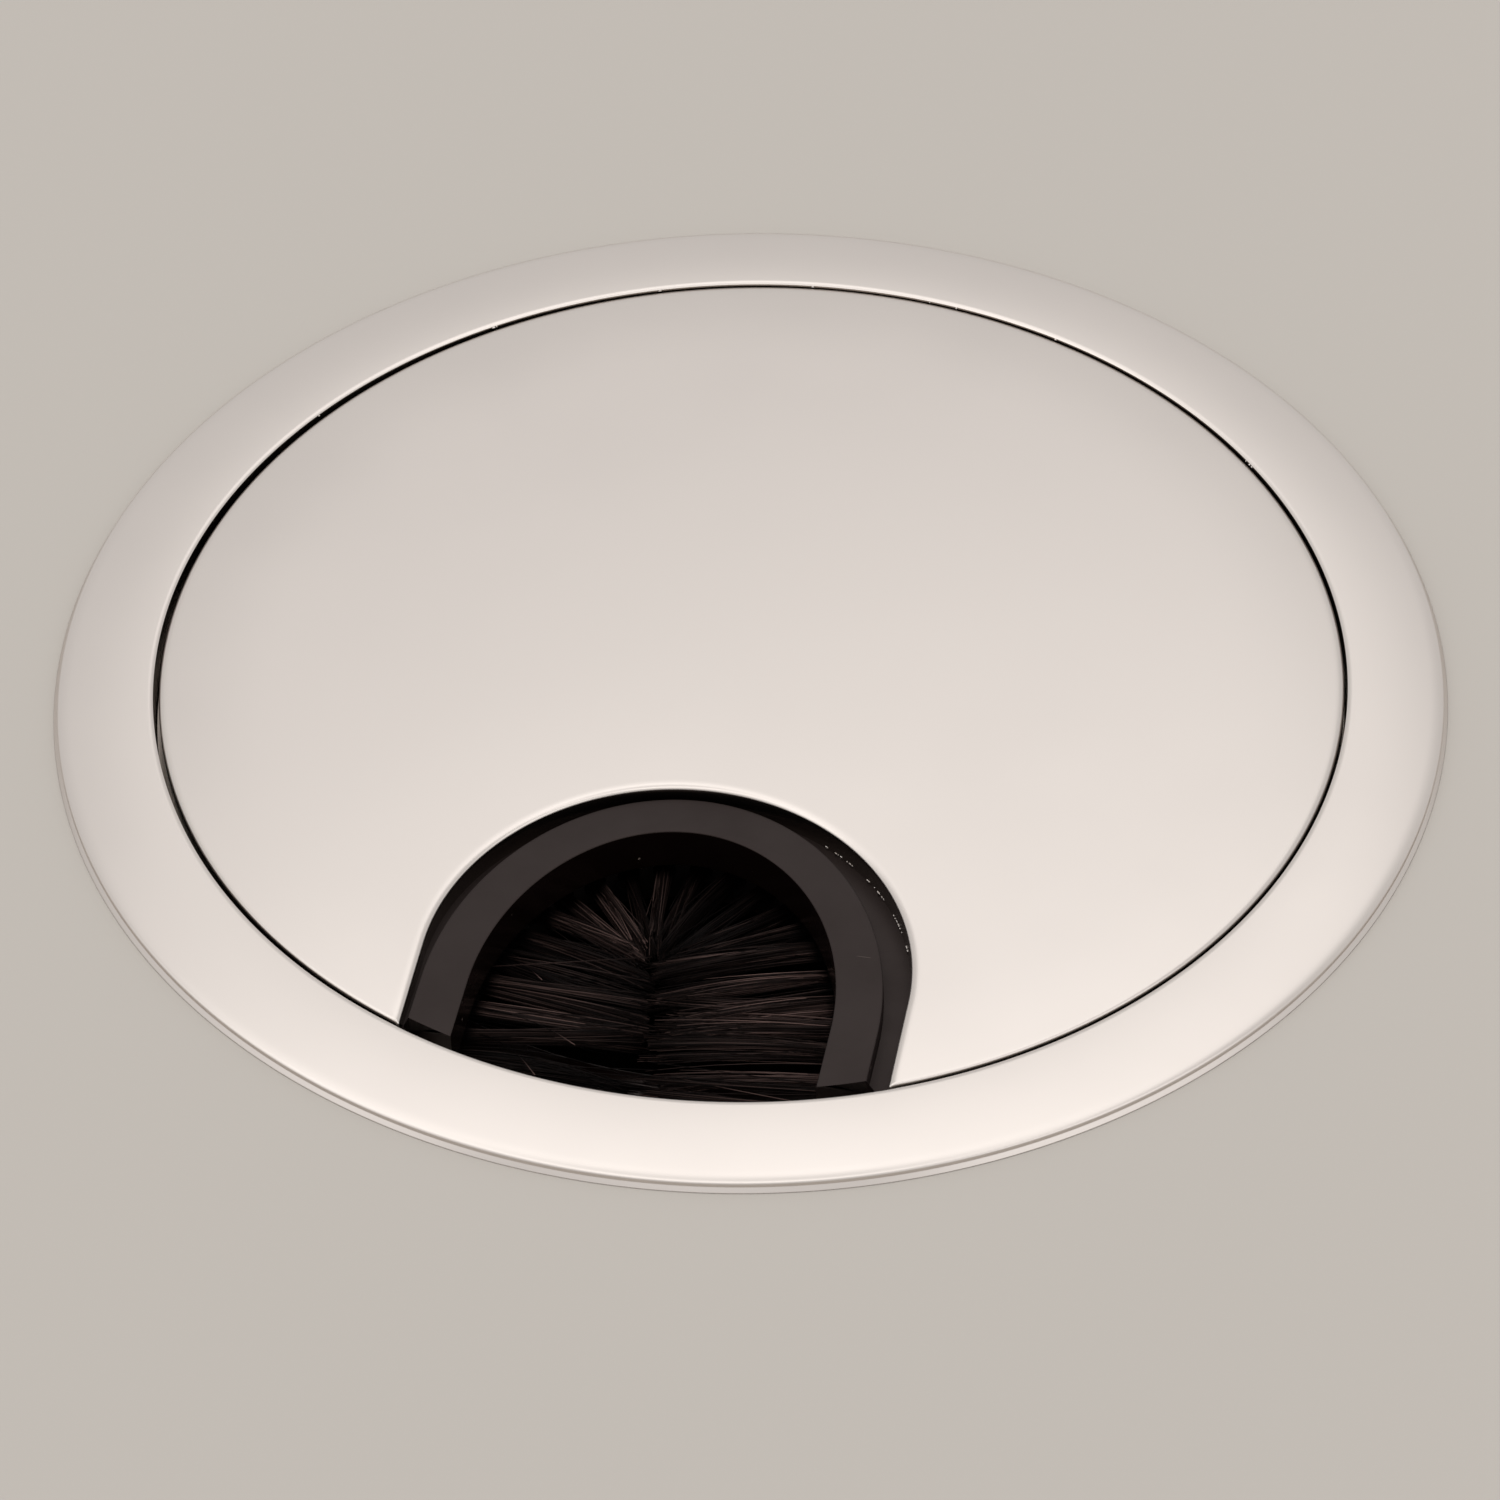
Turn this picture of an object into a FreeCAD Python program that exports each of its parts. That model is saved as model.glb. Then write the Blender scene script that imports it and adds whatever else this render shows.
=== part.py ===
import FreeCAD, Part
import math
import os

V = FreeCAD.Vector
UP = V(0, 0, 1)

# Brush cable grommet for a round hole in a desk top. Millimetres, +Z up.
# The origin is on the hole's axis in the plane of the desk's surface, and the outlet opens towards -Y.

# Desk ring
FLANGE_WIDTH = 4.75
FLANGE_CROWN_Z = 1.13
FLANGE_SHOULDER_Z = 0.72
FLANGE_SHOULDER_WIDTH = 0.5
FLANGE_SIDE_Z = 0.3
FLANGE_FOOT_CHAMFER = 0.1
FLANGE_BULGE = 0.1
BARREL_R = 39.75
BARREL_WALL = 1.65
BARREL_DEPTH = 20.0
BARREL_CHAMFER = 0.6
LEDGE_WIDTH = 1.1
LEDGE_DEPTH = 1.5
LEDGE_THICKNESS = 1.4
BORE_EDGE_CHAMFER = 0.2

# Lid
LID_GAP = 0.35
LID_CROWN_Z = 1.75
LID_SHOULDER_WIDTH = 2.5
LID_SHOULDER_Z = 1.2
LID_RIM_Z = 1.0
LID_EDGE_CHAMFER = 0.2
LID_UNDERSIDE_Z = -0.2
LID_SKIRT_WIDTH = 1.05
SKIRT_RELIEF = 1.5

# Outlet cut through the lid: half an ellipse, then straight legs out to the rim.
# Its leg length is from the ellipse's centre to the lid's rim, and its strips are what shows beside the rib.
CUT_LEG_LENGTH = 9.95
SIDE_STRIP_WIDTH = 0.9
APEX_STRIP_WIDTH = 0.45

# Brush carrier: the inner outline of the U is half an ellipse and two straight legs
MOUTH_HALF_WIDTH = 11.2
MOUTH_ARCH_LENGTH = 15.15
MOUTH_LEG_LENGTH = 7.05
CARRIER_SHIFT_X = -0.45
RIB_WIDTH = 2.9
RIB_HEIGHT = 1.2
CARRIER_TOP_THICKNESS = 1.8
CARRIER_BRIM_WIDTH = 0.9
CARRIER_SKIRT_CLEARANCE = 0.3
TOE_WIDTH = 4.6
TOE_LEDGE_CLEARANCE = 0.1
TOE_SET_IN = 0.65
GROOVE_SET_BACK = 1.2
GROOVE_HEIGHT = 3.2
GROOVE_WALL = 1.4
GROOVE_LIP_THICKNESS = 1.2
GROOVE_LIP_SET_BACK = 1.6
BRIDGE_WIDTH = 7.25

# Fixing ears on the carrier, bosses under the lid and screws
EAR_ANGLES = (-70.0, -36.0, 36.0, 70.0)
EAR_MARGIN = 0.7
BOSS_WALL = 1.0
BOSS_CLEARANCE = 0.1
BOSS_SHORTFALL = 0.1
PILOT_R = 1.2
PILOT_TOP_SKIN = 0.5
SCREW_CLEARANCE = 0.03
SCREW_HEAD_OVERLAP = 0.6
SCREW_HEAD_GAP = 0.2
SCREW_HEAD_HEIGHT = 1.5
SCREW_TIP_GAP = 0.3
RECESS_LENGTH = 3.0
RECESS_WIDTH = 0.6
RECESS_DEPTH = 0.8

# Brush block and its tufts
BLOCK_THICKNESS = 3.8
BLOCK_CLEARANCE = 0.1
BLOCK_END_GAP = 0.5
TUFT_COUNT = 23
TUFT_LEG_RUN = 2.5
TUFT_HOLE_R = 0.75
TUFT_HOLE_FLOOR = 0.8
TUFT_DROP = 1.55
TUFT_HOLE_SLACK = 0.27
RING_COUNTS = (1, 6, 12)
FILAMENT_ROOT_WIDTH = 0.16
FILAMENT_TIP_WIDTH = 0.05
FILAMENT_SHORTFALL = 1.6
TIP_SPREAD_SIDE = 1.9
TIP_SPREAD_UP = 2.0
TIP_FILL = 0.8
FOCUS_X = -1.2
FOCUS_AHEAD = 7.5
FOCUS_CLEARANCE = 1.6
SEAM_FRONT_X = 0.4
SEAM_CLEARANCE = 0.25
LEG_LEAN = 1.2
ANCHOR_SLACK = 0.15
ANCHOR_HEIGHT = 0.3
ANCHOR_LENGTH = 0.7
STRAND_ANCHOR_GAP = 0.3

# How far a cutting solid runs past what it cuts
CUT_SLACK = 1.0

# Sizes that follow from those above
FLANGE_R = BARREL_R + FLANGE_WIDTH
BORE_R = BARREL_R - BARREL_WALL
LEDGE_R = BORE_R - LEDGE_WIDTH
LID_R = BORE_R - LID_GAP
SKIRT_INNER_R = LID_R - LID_SKIRT_WIDTH
CARRIER_BODY_R = min(LEDGE_R, SKIRT_INNER_R) - CARRIER_SKIRT_CLEARANCE
CARRIER_TOP_Z = LID_UNDERSIDE_Z
RIB_TOP_Z = CARRIER_TOP_Z + RIB_HEIGHT
GROOVE_TOP_Z = CARRIER_TOP_Z - CARRIER_TOP_THICKNESS
GROOVE_FLOOR_Z = GROOVE_TOP_Z - GROOVE_HEIGHT
GROOVE_DEPTH = GROOVE_SET_BACK + BLOCK_THICKNESS + BLOCK_CLEARANCE
GROOVE_OUTER = GROOVE_DEPTH + GROOVE_WALL
LIP_BOTTOM_Z = GROOVE_FLOOR_Z - GROOVE_LIP_THICKNESS
CARRIER_TOP_WIDTH = GROOVE_OUTER + CARRIER_BRIM_WIDTH
MOUTH_CENTRE_Y = MOUTH_LEG_LENGTH - LID_R
CUT_CENTRE_Y = CUT_LEG_LENGTH - LID_R
CUT_HALF_WIDTH = MOUTH_HALF_WIDTH + RIB_WIDTH + SIDE_STRIP_WIDTH
CUT_APEX_Y = MOUTH_CENTRE_Y + MOUTH_ARCH_LENGTH + RIB_WIDTH + APEX_STRIP_WIDTH
CUT_ARCH_LENGTH = CUT_APEX_Y - CUT_CENTRE_Y
TOE_BOTTOM_Z = TOE_LEDGE_CLEARANCE - LEDGE_DEPTH
TOE_END_R = LID_R - TOE_SET_IN
BRIDGE_INNER_R = LID_R - BRIDGE_WIDTH
BOSS_R = PILOT_R + BOSS_WALL
BOSS_HOLE_R = BOSS_R + BOSS_CLEARANCE
BOSS_BOTTOM_Z = GROOVE_TOP_Z + BOSS_SHORTFALL
SCREW_HEAD_R = BOSS_HOLE_R + SCREW_HEAD_OVERLAP
EAR_R = SCREW_HEAD_R + EAR_MARGIN
EAR_SPACING = GROOVE_OUTER + SCREW_HEAD_GAP + SCREW_HEAD_R
TUFT_Z = GROOVE_TOP_Z - TUFT_DROP
TUFT_LAST_Y = MOUTH_CENTRE_Y - TUFT_LEG_RUN
TUFT_HOLE_DEPTH = BLOCK_THICKNESS - TUFT_HOLE_FLOOR
RING_STEP = (TUFT_HOLE_R - TUFT_HOLE_SLACK) / (len(RING_COUNTS) - 1)
ANCHOR_WIDTH = 2 * (TUFT_HOLE_R - ANCHOR_SLACK)
FILAMENT_DEPTH = TUFT_HOLE_DEPTH - ANCHOR_LENGTH - STRAND_ANCHOR_GAP
FOCUS_Y = MOUTH_CENTRE_Y + FOCUS_AHEAD
OUT_OF_RIM = FLANGE_R


def revolved(edges):
    """One solid turned about Z from a closed profile in the XZ plane."""
    return Part.Face(Part.Wire(edges)).revolve(V(0, 0, 0), UP, 360)


def line(a, b):
    return Part.LineSegment(V(a[0], 0, a[1]), V(b[0], 0, b[1])).toShape()


def arc(a, b, c):
    return Part.Arc(V(a[0], 0, a[1]), V(b[0], 0, b[1]), V(c[0], 0, c[1])).toShape()


def chain(points):
    """Straight edges from each point of a profile to the next."""
    return [line(a, b) for a, b in zip(points, points[1:])]


def disc(radius, bottom, top, centre=(0, 0)):
    return Part.makeCylinder(radius, top - bottom, V(centre[0], centre[1], bottom), UP)


def arch_edge(half_width, length, centre_y, z):
    """Half an ellipse over a U's legs, from its left leg to its right one."""
    centre = V(0, centre_y, z)
    side = V(half_width, centre_y, z)
    crown = V(0, centre_y + length, z)
    if length > half_width:
        ellipse = Part.Ellipse(crown, side, centre)
        return Part.Arc(ellipse, 1.5 * math.pi, 2.5 * math.pi).toShape()
    ellipse = Part.Ellipse(side, crown, centre)
    return Part.Arc(ellipse, 0, math.pi).toShape()


def u_prism(half_width, length, centre_y, bottom, top):
    """A solid with a U's outline in plan, whose legs run out past the rim."""
    left = V(-half_width, centre_y, bottom)
    right = V(half_width, centre_y, bottom)
    left_end = V(-half_width, -OUT_OF_RIM, bottom)
    right_end = V(half_width, -OUT_OF_RIM, bottom)
    legs = Part.makePolygon([right, right_end, left_end, left]).Edges
    outline = Part.Wire(Part.__sortEdges__([arch_edge(half_width, length, centre_y, bottom)] + legs))
    return Part.Face(outline).extrude(V(0, 0, top - bottom))


def mouth_prism(offset, bottom, top):
    """The carrier's U, grown outwards by an offset from the mouth's outline."""
    return u_prism(MOUTH_HALF_WIDTH + offset, MOUTH_ARCH_LENGTH + offset, MOUTH_CENTRE_Y, bottom, top)


def mouth_band(inner, outer, bottom, top):
    """The wall between two offsets of the mouth's outline."""
    inside = mouth_prism(inner, bottom - CUT_SLACK, top + CUT_SLACK)
    return mouth_prism(outer, bottom, top).cut(inside)


def ear_centres():
    """Where the ears, bosses and screws stand, already shifted with the carrier."""
    centres = []
    for degrees in EAR_ANGLES:
        turn = math.radians(degrees)
        x = (MOUTH_HALF_WIDTH + EAR_SPACING) * math.sin(turn) + CARRIER_SHIFT_X
        y = MOUTH_CENTRE_Y + (MOUTH_ARCH_LENGTH + EAR_SPACING) * math.cos(turn)
        centres.append((x, y))
    return centres


def desk_ring():
    """Flange, barrel and the ledge that the lid rests on, turned as one piece."""
    shoulder_r = FLANGE_R - FLANGE_SHOULDER_WIDTH
    bore_top = FLANGE_CROWN_Z - BORE_EDGE_CHAMFER
    crown_start = (BORE_R + BORE_EDGE_CHAMFER, FLANGE_CROWN_Z)
    shoulder = (shoulder_r, FLANGE_SHOULDER_Z)
    crown_middle = (
        (crown_start[0] + shoulder[0]) / 2,
        (crown_start[1] + shoulder[1]) / 2 + FLANGE_BULGE,
    )
    side_top = (FLANGE_R, FLANGE_SIDE_Z)
    bend = math.sqrt(0.5)
    shoulder_middle = (
        shoulder_r + FLANGE_SHOULDER_WIDTH * bend,
        FLANGE_SIDE_Z + (FLANGE_SHOULDER_Z - FLANGE_SIDE_Z) * bend,
    )
    outside = chain([
        side_top,
        (FLANGE_R, FLANGE_FOOT_CHAMFER),
        (FLANGE_R - FLANGE_FOOT_CHAMFER, 0),
        (BARREL_R, 0),
        (BARREL_R, BARREL_CHAMFER - BARREL_DEPTH),
        (BARREL_R - BARREL_CHAMFER, -BARREL_DEPTH),
        (BORE_R, -BARREL_DEPTH),
        (BORE_R, -LEDGE_DEPTH - LEDGE_THICKNESS - LEDGE_WIDTH),
        (LEDGE_R, -LEDGE_DEPTH - LEDGE_THICKNESS),
        (LEDGE_R, -LEDGE_DEPTH),
        (BORE_R, -LEDGE_DEPTH),
        (BORE_R, bore_top),
        crown_start,
    ])
    crown = arc(crown_start, crown_middle, shoulder)
    rounded = arc(shoulder, shoulder_middle, side_top)
    return revolved(outside + [crown, rounded])


def lid_blank():
    """The domed disc with its rounded edge and the skirt under its rim."""
    shoulder_r = LID_R - LID_SHOULDER_WIDTH
    shoulder = (shoulder_r, LID_SHOULDER_Z)
    half_drop = (LID_CROWN_Z - LID_SHOULDER_Z) / 4
    dome_middle = (shoulder_r / 2, LID_CROWN_Z - half_drop)
    edge_top = (LID_R - LID_EDGE_CHAMFER, LID_RIM_Z)
    edge_middle = (
        (shoulder_r + edge_top[0]) / 2,
        LID_SHOULDER_Z - (LID_SHOULDER_Z - LID_RIM_Z) / 3,
    )
    dome = arc((0, LID_CROWN_Z), dome_middle, shoulder)
    edge = arc(shoulder, edge_middle, edge_top)
    rest = chain([
        edge_top,
        (LID_R, LID_RIM_Z - LID_EDGE_CHAMFER),
        (LID_R, -LEDGE_DEPTH),
        (SKIRT_INNER_R, -LEDGE_DEPTH),
        (SKIRT_INNER_R, LID_UNDERSIDE_Z),
        (0, LID_UNDERSIDE_Z),
        (0, LID_CROWN_Z),
    ])
    return revolved([dome, edge] + rest)


def cut_prism(offset, bottom, top):
    return u_prism(CUT_HALF_WIDTH + offset, CUT_ARCH_LENGTH + offset, CUT_CENTRE_Y, bottom, top)


def lid():
    """The blank with the outlet cut out, and a drilled boss for each screw."""
    shape = lid_blank()
    shape = shape.cut(cut_prism(0, LID_UNDERSIDE_Z, LID_CROWN_Z + CUT_SLACK))
    shape = shape.cut(cut_prism(SKIRT_RELIEF, -LEDGE_DEPTH - CUT_SLACK, LID_UNDERSIDE_Z))
    for centre in ear_centres():
        shape = shape.fuse(disc(BOSS_R, BOSS_BOTTOM_Z, LID_UNDERSIDE_Z, centre))
    for centre in ear_centres():
        shape = shape.cut(disc(PILOT_R, BOSS_BOTTOM_Z, pilot_top(centre), centre))
    return shape.removeSplitter()


def pilot_top(centre):
    """The end of a pilot hole, kept under the lid's domed face."""
    reach = math.hypot(*centre) / (LID_R - LID_SHOULDER_WIDTH)
    dome_z = LID_CROWN_Z - (LID_CROWN_Z - LID_SHOULDER_Z) * reach ** 2
    return dome_z - PILOT_TOP_SKIN


def shifted(shape):
    """Moves a piece of the brush to its place, a little to the left of the outlet's middle."""
    moved = shape.copy()
    moved.translate(V(CARRIER_SHIFT_X, 0, 0))
    return moved


def groove_body():
    """The top plate, back wall and lower lip that hold the brush block in a groove."""
    top_plate = mouth_band(0, CARRIER_TOP_WIDTH, GROOVE_TOP_Z, CARRIER_TOP_Z)
    back_wall = mouth_band(GROOVE_DEPTH, GROOVE_OUTER, LIP_BOTTOM_Z, GROOVE_TOP_Z)
    lip = mouth_band(GROOVE_LIP_SET_BACK, GROOVE_DEPTH, LIP_BOTTOM_Z, GROOVE_FLOOR_Z)
    return shifted(top_plate.fuse([back_wall, lip]))


def bridge():
    """The low bar between the legs' ends, under the tufts."""
    bar = shifted(mouth_prism(GROOVE_LIP_SET_BACK, LIP_BOTTOM_Z, GROOVE_FLOOR_Z))
    return bar.cut(disc(BRIDGE_INNER_R, LIP_BOTTOM_Z - CUT_SLACK, GROOVE_FLOOR_Z + CUT_SLACK))


def raised_face():
    """The rib that shows in the outlet, and the toe that its legs end in."""
    rib = mouth_band(0, RIB_WIDTH, CARRIER_TOP_Z, RIB_TOP_Z)
    toe = mouth_band(0, TOE_WIDTH, TOE_BOTTOM_Z, CARRIER_TOP_Z)
    ends = disc(TOE_END_R, TOE_BOTTOM_Z - CUT_SLACK, RIB_TOP_Z + CUT_SLACK)
    return shifted(rib.fuse(toe)).common(ends)


def brush_carrier():
    """The U-shaped moulding whose face shows round the brush."""
    shape = groove_body().fuse(bridge())
    shape = shape.common(disc(CARRIER_BODY_R, LIP_BOTTOM_Z - CUT_SLACK, CARRIER_TOP_Z + CUT_SLACK))
    ears = [disc(EAR_R, GROOVE_TOP_Z, CARRIER_TOP_Z, centre) for centre in ear_centres()]
    shape = shape.fuse(ears + [raised_face()])
    for centre in ear_centres():
        shape = shape.cut(disc(BOSS_HOLE_R, GROOVE_TOP_Z, CARRIER_TOP_Z, centre))
    return shape.removeSplitter()


def clamp_screw(centre):
    """A pan-head screw driven up through an ear into its boss."""
    head = disc(SCREW_HEAD_R, GROOVE_TOP_Z - SCREW_HEAD_HEIGHT, GROOVE_TOP_Z, centre)
    shank_top = pilot_top(centre) - SCREW_TIP_GAP
    shape = head.fuse(disc(PILOT_R - SCREW_CLEARANCE, GROOVE_TOP_Z, shank_top, centre))
    recess_z = GROOVE_TOP_Z - SCREW_HEAD_HEIGHT
    for length, width in ((RECESS_LENGTH, RECESS_WIDTH), (RECESS_WIDTH, RECESS_LENGTH)):
        corner = V(centre[0] - length / 2, centre[1] - width / 2, recess_z)
        shape = shape.cut(Part.makeBox(length, width, RECESS_DEPTH, corner))
    return shape


def tuft_mouths():
    """Points evenly spaced along the block's inner face, where the tufts come out."""
    half_width = MOUTH_HALF_WIDTH + GROOVE_SET_BACK
    arch = arch_edge(half_width, MOUTH_ARCH_LENGTH + GROOVE_SET_BACK, MOUTH_CENTRE_Y, TUFT_Z)
    left = Part.makeLine(V(-half_width, TUFT_LAST_Y, TUFT_Z), V(-half_width, MOUTH_CENTRE_Y, TUFT_Z))
    right = Part.makeLine(V(half_width, MOUTH_CENTRE_Y, TUFT_Z), V(half_width, TUFT_LAST_Y, TUFT_Z))
    path = Part.Wire(Part.__sortEdges__([left, arch, right]))
    points = path.discretize(Number=TUFT_COUNT)
    if points[0].x > points[-1].x:
        points.reverse()
    return points


def seam_point(mouth):
    """Where a tuft's tips end: round the focus in the arch, along the seam between the legs."""
    focus = V(FOCUS_X, FOCUS_Y, TUFT_Z)
    if mouth.y > FOCUS_Y:
        away = (mouth - focus).normalize()
        return focus + away * FOCUS_CLEARANCE
    y = mouth.y - LEG_LEAN
    share = (FOCUS_Y - y) / (FOCUS_Y - TUFT_LAST_Y + LEG_LEAN)
    seam_x = FOCUS_X + (SEAM_FRONT_X - FOCUS_X) * share
    side = math.copysign(SEAM_CLEARANCE, mouth.x)
    return V(seam_x + side, y, TUFT_Z)


class Tuft:
    """Where one tuft comes out, which way it points and how wide its tips may spread."""

    def __init__(self, index, mouths, tips):
        self.index = index
        self.mouth = mouths[index]
        self.tip = tips[index]
        self.axis = (self.tip - self.mouth).normalize()
        self.side = UP.cross(self.axis)
        nearby = [tips[i] for i in (index - 1, index + 1) if 0 <= i < len(tips)]
        room = min(abs((self.tip - other).dot(self.side)) for other in nearby) / 2
        widest = RING_STEP * (len(RING_COUNTS) - 1)
        self.spread = min(TIP_SPREAD_SIDE, TIP_FILL * room / widest)

    def at(self, depth):
        """A point on the tuft's axis, below the mouth of its hole."""
        return self.mouth - self.axis * depth


def tufts():
    mouths = tuft_mouths()
    tips = [seam_point(mouth) for mouth in mouths]
    return [Tuft(i, mouths, tips) for i in range(TUFT_COUNT)]


def brush_block(all_tufts):
    """The bent strip with a hole drilled for each tuft."""
    outer = GROOVE_SET_BACK + BLOCK_THICKNESS
    shape = mouth_band(GROOVE_SET_BACK, outer, GROOVE_FLOOR_Z, GROOVE_TOP_Z)
    holes = [
        Part.makeCylinder(TUFT_HOLE_R, TUFT_HOLE_DEPTH * 2, tuft.at(TUFT_HOLE_DEPTH), tuft.axis)
        for tuft in all_tufts
    ]
    shape = shifted(shape.cut(holes))
    ends = disc(CARRIER_BODY_R - BLOCK_END_GAP, GROOVE_FLOOR_Z - CUT_SLACK, GROOVE_TOP_Z + CUT_SLACK)
    return shape.common(ends)


def scatter(first, second):
    """An even but irregular value from 0 to 1 for a pair of counts."""
    wave = math.sin(first * 12.9898 + second * 78.233) * 43758.5453
    return wave - math.floor(wave)


def square_corners(centre, side, lift, width):
    """Corners of a square section about a point, in order round it."""
    half = width / 2
    turns = ((-1, -1), (1, -1), (1, 1), (-1, 1))
    return [centre + side * (a * half) + lift * (b * half) for a, b in turns]


def packed_places():
    """Where a tuft's strands stand about its axis: one in the middle and rings round it."""
    places = []
    for ring, count in enumerate(RING_COUNTS):
        for step in range(count):
            turn = 2 * math.pi * step / count
            places.append((RING_STEP * ring * math.cos(turn), RING_STEP * ring * math.sin(turn)))
    return places


def filament(root, tip, side):
    """One straight strand that tapers from its root to its tip."""
    near = square_corners(root, side, UP, FILAMENT_ROOT_WIDTH)
    far = square_corners(tip, side, UP, FILAMENT_TIP_WIDTH)
    loops = [near, far]
    loops += [[near[i], near[(i + 1) % 4], far[(i + 1) % 4], far[i]] for i in range(4)]
    faces = [Part.Face(Part.makePolygon(loop + loop[:1])) for loop in loops]
    return Part.makeSolid(Part.makeShell(faces))


def bristle_tuft(tuft):
    """The strands of one tuft, packed in its hole and spread towards their tips."""
    strands = []
    start = tuft.at(FILAMENT_DEPTH)
    full = (tuft.tip - start).Length
    for number, (across, above) in enumerate(packed_places()):
        root = start + tuft.side * across + UP * above
        short = FILAMENT_SHORTFALL * scatter(tuft.index, number)
        centre = tuft.tip - tuft.axis * short
        reach = (full - short) / full
        across_end = across * (1 + (tuft.spread - 1) * reach)
        above_end = above * (1 + (TIP_SPREAD_UP - 1) * reach)
        tip = centre + tuft.side * across_end + UP * above_end
        strands.append(filament(root, tip, tuft.side))
    return shifted(Part.makeCompound(strands))


def tuft_anchor(tuft):
    """The flat wire across the bottom of a hole that the strands are folded over."""
    box = Part.makeBox(ANCHOR_LENGTH, ANCHOR_WIDTH, ANCHOR_HEIGHT)
    box.translate(V(0, -ANCHOR_WIDTH / 2, -ANCHOR_HEIGHT / 2))
    turn = FreeCAD.Rotation(V(1, 0, 0), tuft.axis)
    box.Placement = FreeCAD.Placement(tuft.at(TUFT_HOLE_DEPTH), turn) * box.Placement
    return shifted(box)


def save(name, shape):
    shape.exportStep("parts/" + name + ".step")


os.makedirs("parts", exist_ok=True)
all_tufts = tufts()
save("desk_ring", desk_ring())
save("lid", lid())
save("brush_carrier", brush_carrier())
save("brush_block", brush_block(all_tufts))
save("tuft_anchors", Part.makeCompound([tuft_anchor(tuft) for tuft in all_tufts]))
for tuft in all_tufts:
    save("bristle_tuft_%02d" % (tuft.index + 1), bristle_tuft(tuft))
for number, centre in enumerate(ear_centres(), 1):
    save("clamp_screw_%d" % number, clamp_screw(centre))
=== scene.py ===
import math

import bmesh
import bpy
import numpy as np
from mathutils import Matrix


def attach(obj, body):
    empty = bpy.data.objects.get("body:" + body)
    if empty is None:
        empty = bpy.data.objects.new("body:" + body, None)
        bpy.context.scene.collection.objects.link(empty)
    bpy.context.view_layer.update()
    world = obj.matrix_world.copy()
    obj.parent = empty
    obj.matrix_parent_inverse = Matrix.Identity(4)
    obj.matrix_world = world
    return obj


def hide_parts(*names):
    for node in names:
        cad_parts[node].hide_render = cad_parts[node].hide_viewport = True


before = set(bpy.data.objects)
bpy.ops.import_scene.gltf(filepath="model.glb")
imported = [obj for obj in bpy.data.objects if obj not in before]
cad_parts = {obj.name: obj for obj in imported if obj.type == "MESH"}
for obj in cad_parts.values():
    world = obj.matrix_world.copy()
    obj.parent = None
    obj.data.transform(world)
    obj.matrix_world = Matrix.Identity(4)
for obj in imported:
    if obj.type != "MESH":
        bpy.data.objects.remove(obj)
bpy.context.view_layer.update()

# Brush cable grommet, standing with its flange on a pale board that is open under its barrel.
# Sizes below are in millimetres, like the part's own, and become metres in each mesh.
MM = 0.001
UP = np.array([0.0, 0, 1])
TINY = 1e-9
# Most of a noise's values lie between these
NOISE_RANGE = (0.3, 0.7)

# Meshing: share of a U's points on each leg, points round a rounded corner, and limits for merging
LEG_SHARE = 0.11
ROUND_POINTS = 5
REPEAT_GAP = 1e-6
MERGE_DISTANCE = 0.0005
SLIVER_LENGTH = 0.0002
SHARP_DEGREES = 35.0

# Desk ring: a turned zinc casting
FLANGE_R = 44.5
FLANGE_CROWN_Z = 1.13
FLANGE_FALL = 0.0719
FLANGE_BULGE = 0.1
FACE_START_R = 38.3
FACE_END_R = 44.0
FACE_POINTS = 26
SLOPE_STEP = 0.01
SHOULDER_START_R = 43.35
SHOULDER_END_Z = 0.47
SHOULDER_POINTS = 18
FOOT_LEDGE_R = 44.25
FOOT_LEDGE_Z = 0.28
FOOT_Z = 0.03
BARREL_R = 39.75
BARREL_BOTTOM_Z = -20.0
BORE_R = 38.1
BORE_SLACK = 0.01
BORE_EDGE = 0.15
BORE_EDGE_DROP = 0.085
BORE_SHADE_START = 0.5
LEDGE_R = 37.0
LEDGE_Z = -1.5
LEDGE_THICKNESS = 1.4
RING_COLUMNS = 480

# Lid: a domed disc with a skirt under its rim, which stands a little to the right and back in the ring
LID_R = 37.75
LID_CROWN_Z = 1.75
LID_DOME_DROP = 0.57
LID_ROLL_DROP = 0.18
LID_ROLL_R = 30.6
LID_ROLL_POWER = 2.35
LID_UNDERSIDE_Z = -0.2
LID_SKIRT_WIDTH = 1.05
SKIRT_RELIEF = 1.5
RIM_GROWTH_RIGHT = 0.17
RIM_GROWTH_BACK = 0.26
RIM_LOSS_FRONT = 0.2
RIM_ROUND = 0.55
RIM_ROUND_DROP = 0.25
RIM_ROUND_SPARED_BACK = 0.5
CUT_ROUND = 0.48
CUT_ROUND_DROP = 0.24
CUT_FALL = 0.05
CUT_FALL_WIDTH = 11.0
BOSS_R = 2.2
PILOT_R = 1.2
BOSS_BOTTOM_Z = -1.9
BOSS_SINK = 0.1
LID_COLUMNS = 640
# Rows of points next to the outlet and next to the rim, in widths of the rounding there
CUT_ROWS = np.array([0, 0.02, 0.08, 0.18, 0.32, 0.5, 0.72, 1.0, 1.4, 2.0, 3.2, 5.0])
RIM_ROWS = np.array([0, 0.02, 0.08, 0.18, 0.32, 0.5, 0.72, 1.0, 1.5, 2.5, 4.0, 6.0, 8.0])
MIDDLE_ROWS = 24
LEAST_MIDDLE = 2.0
WALL_ROWS = np.array([0.75, 0.45, 0.15, 0])

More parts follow.
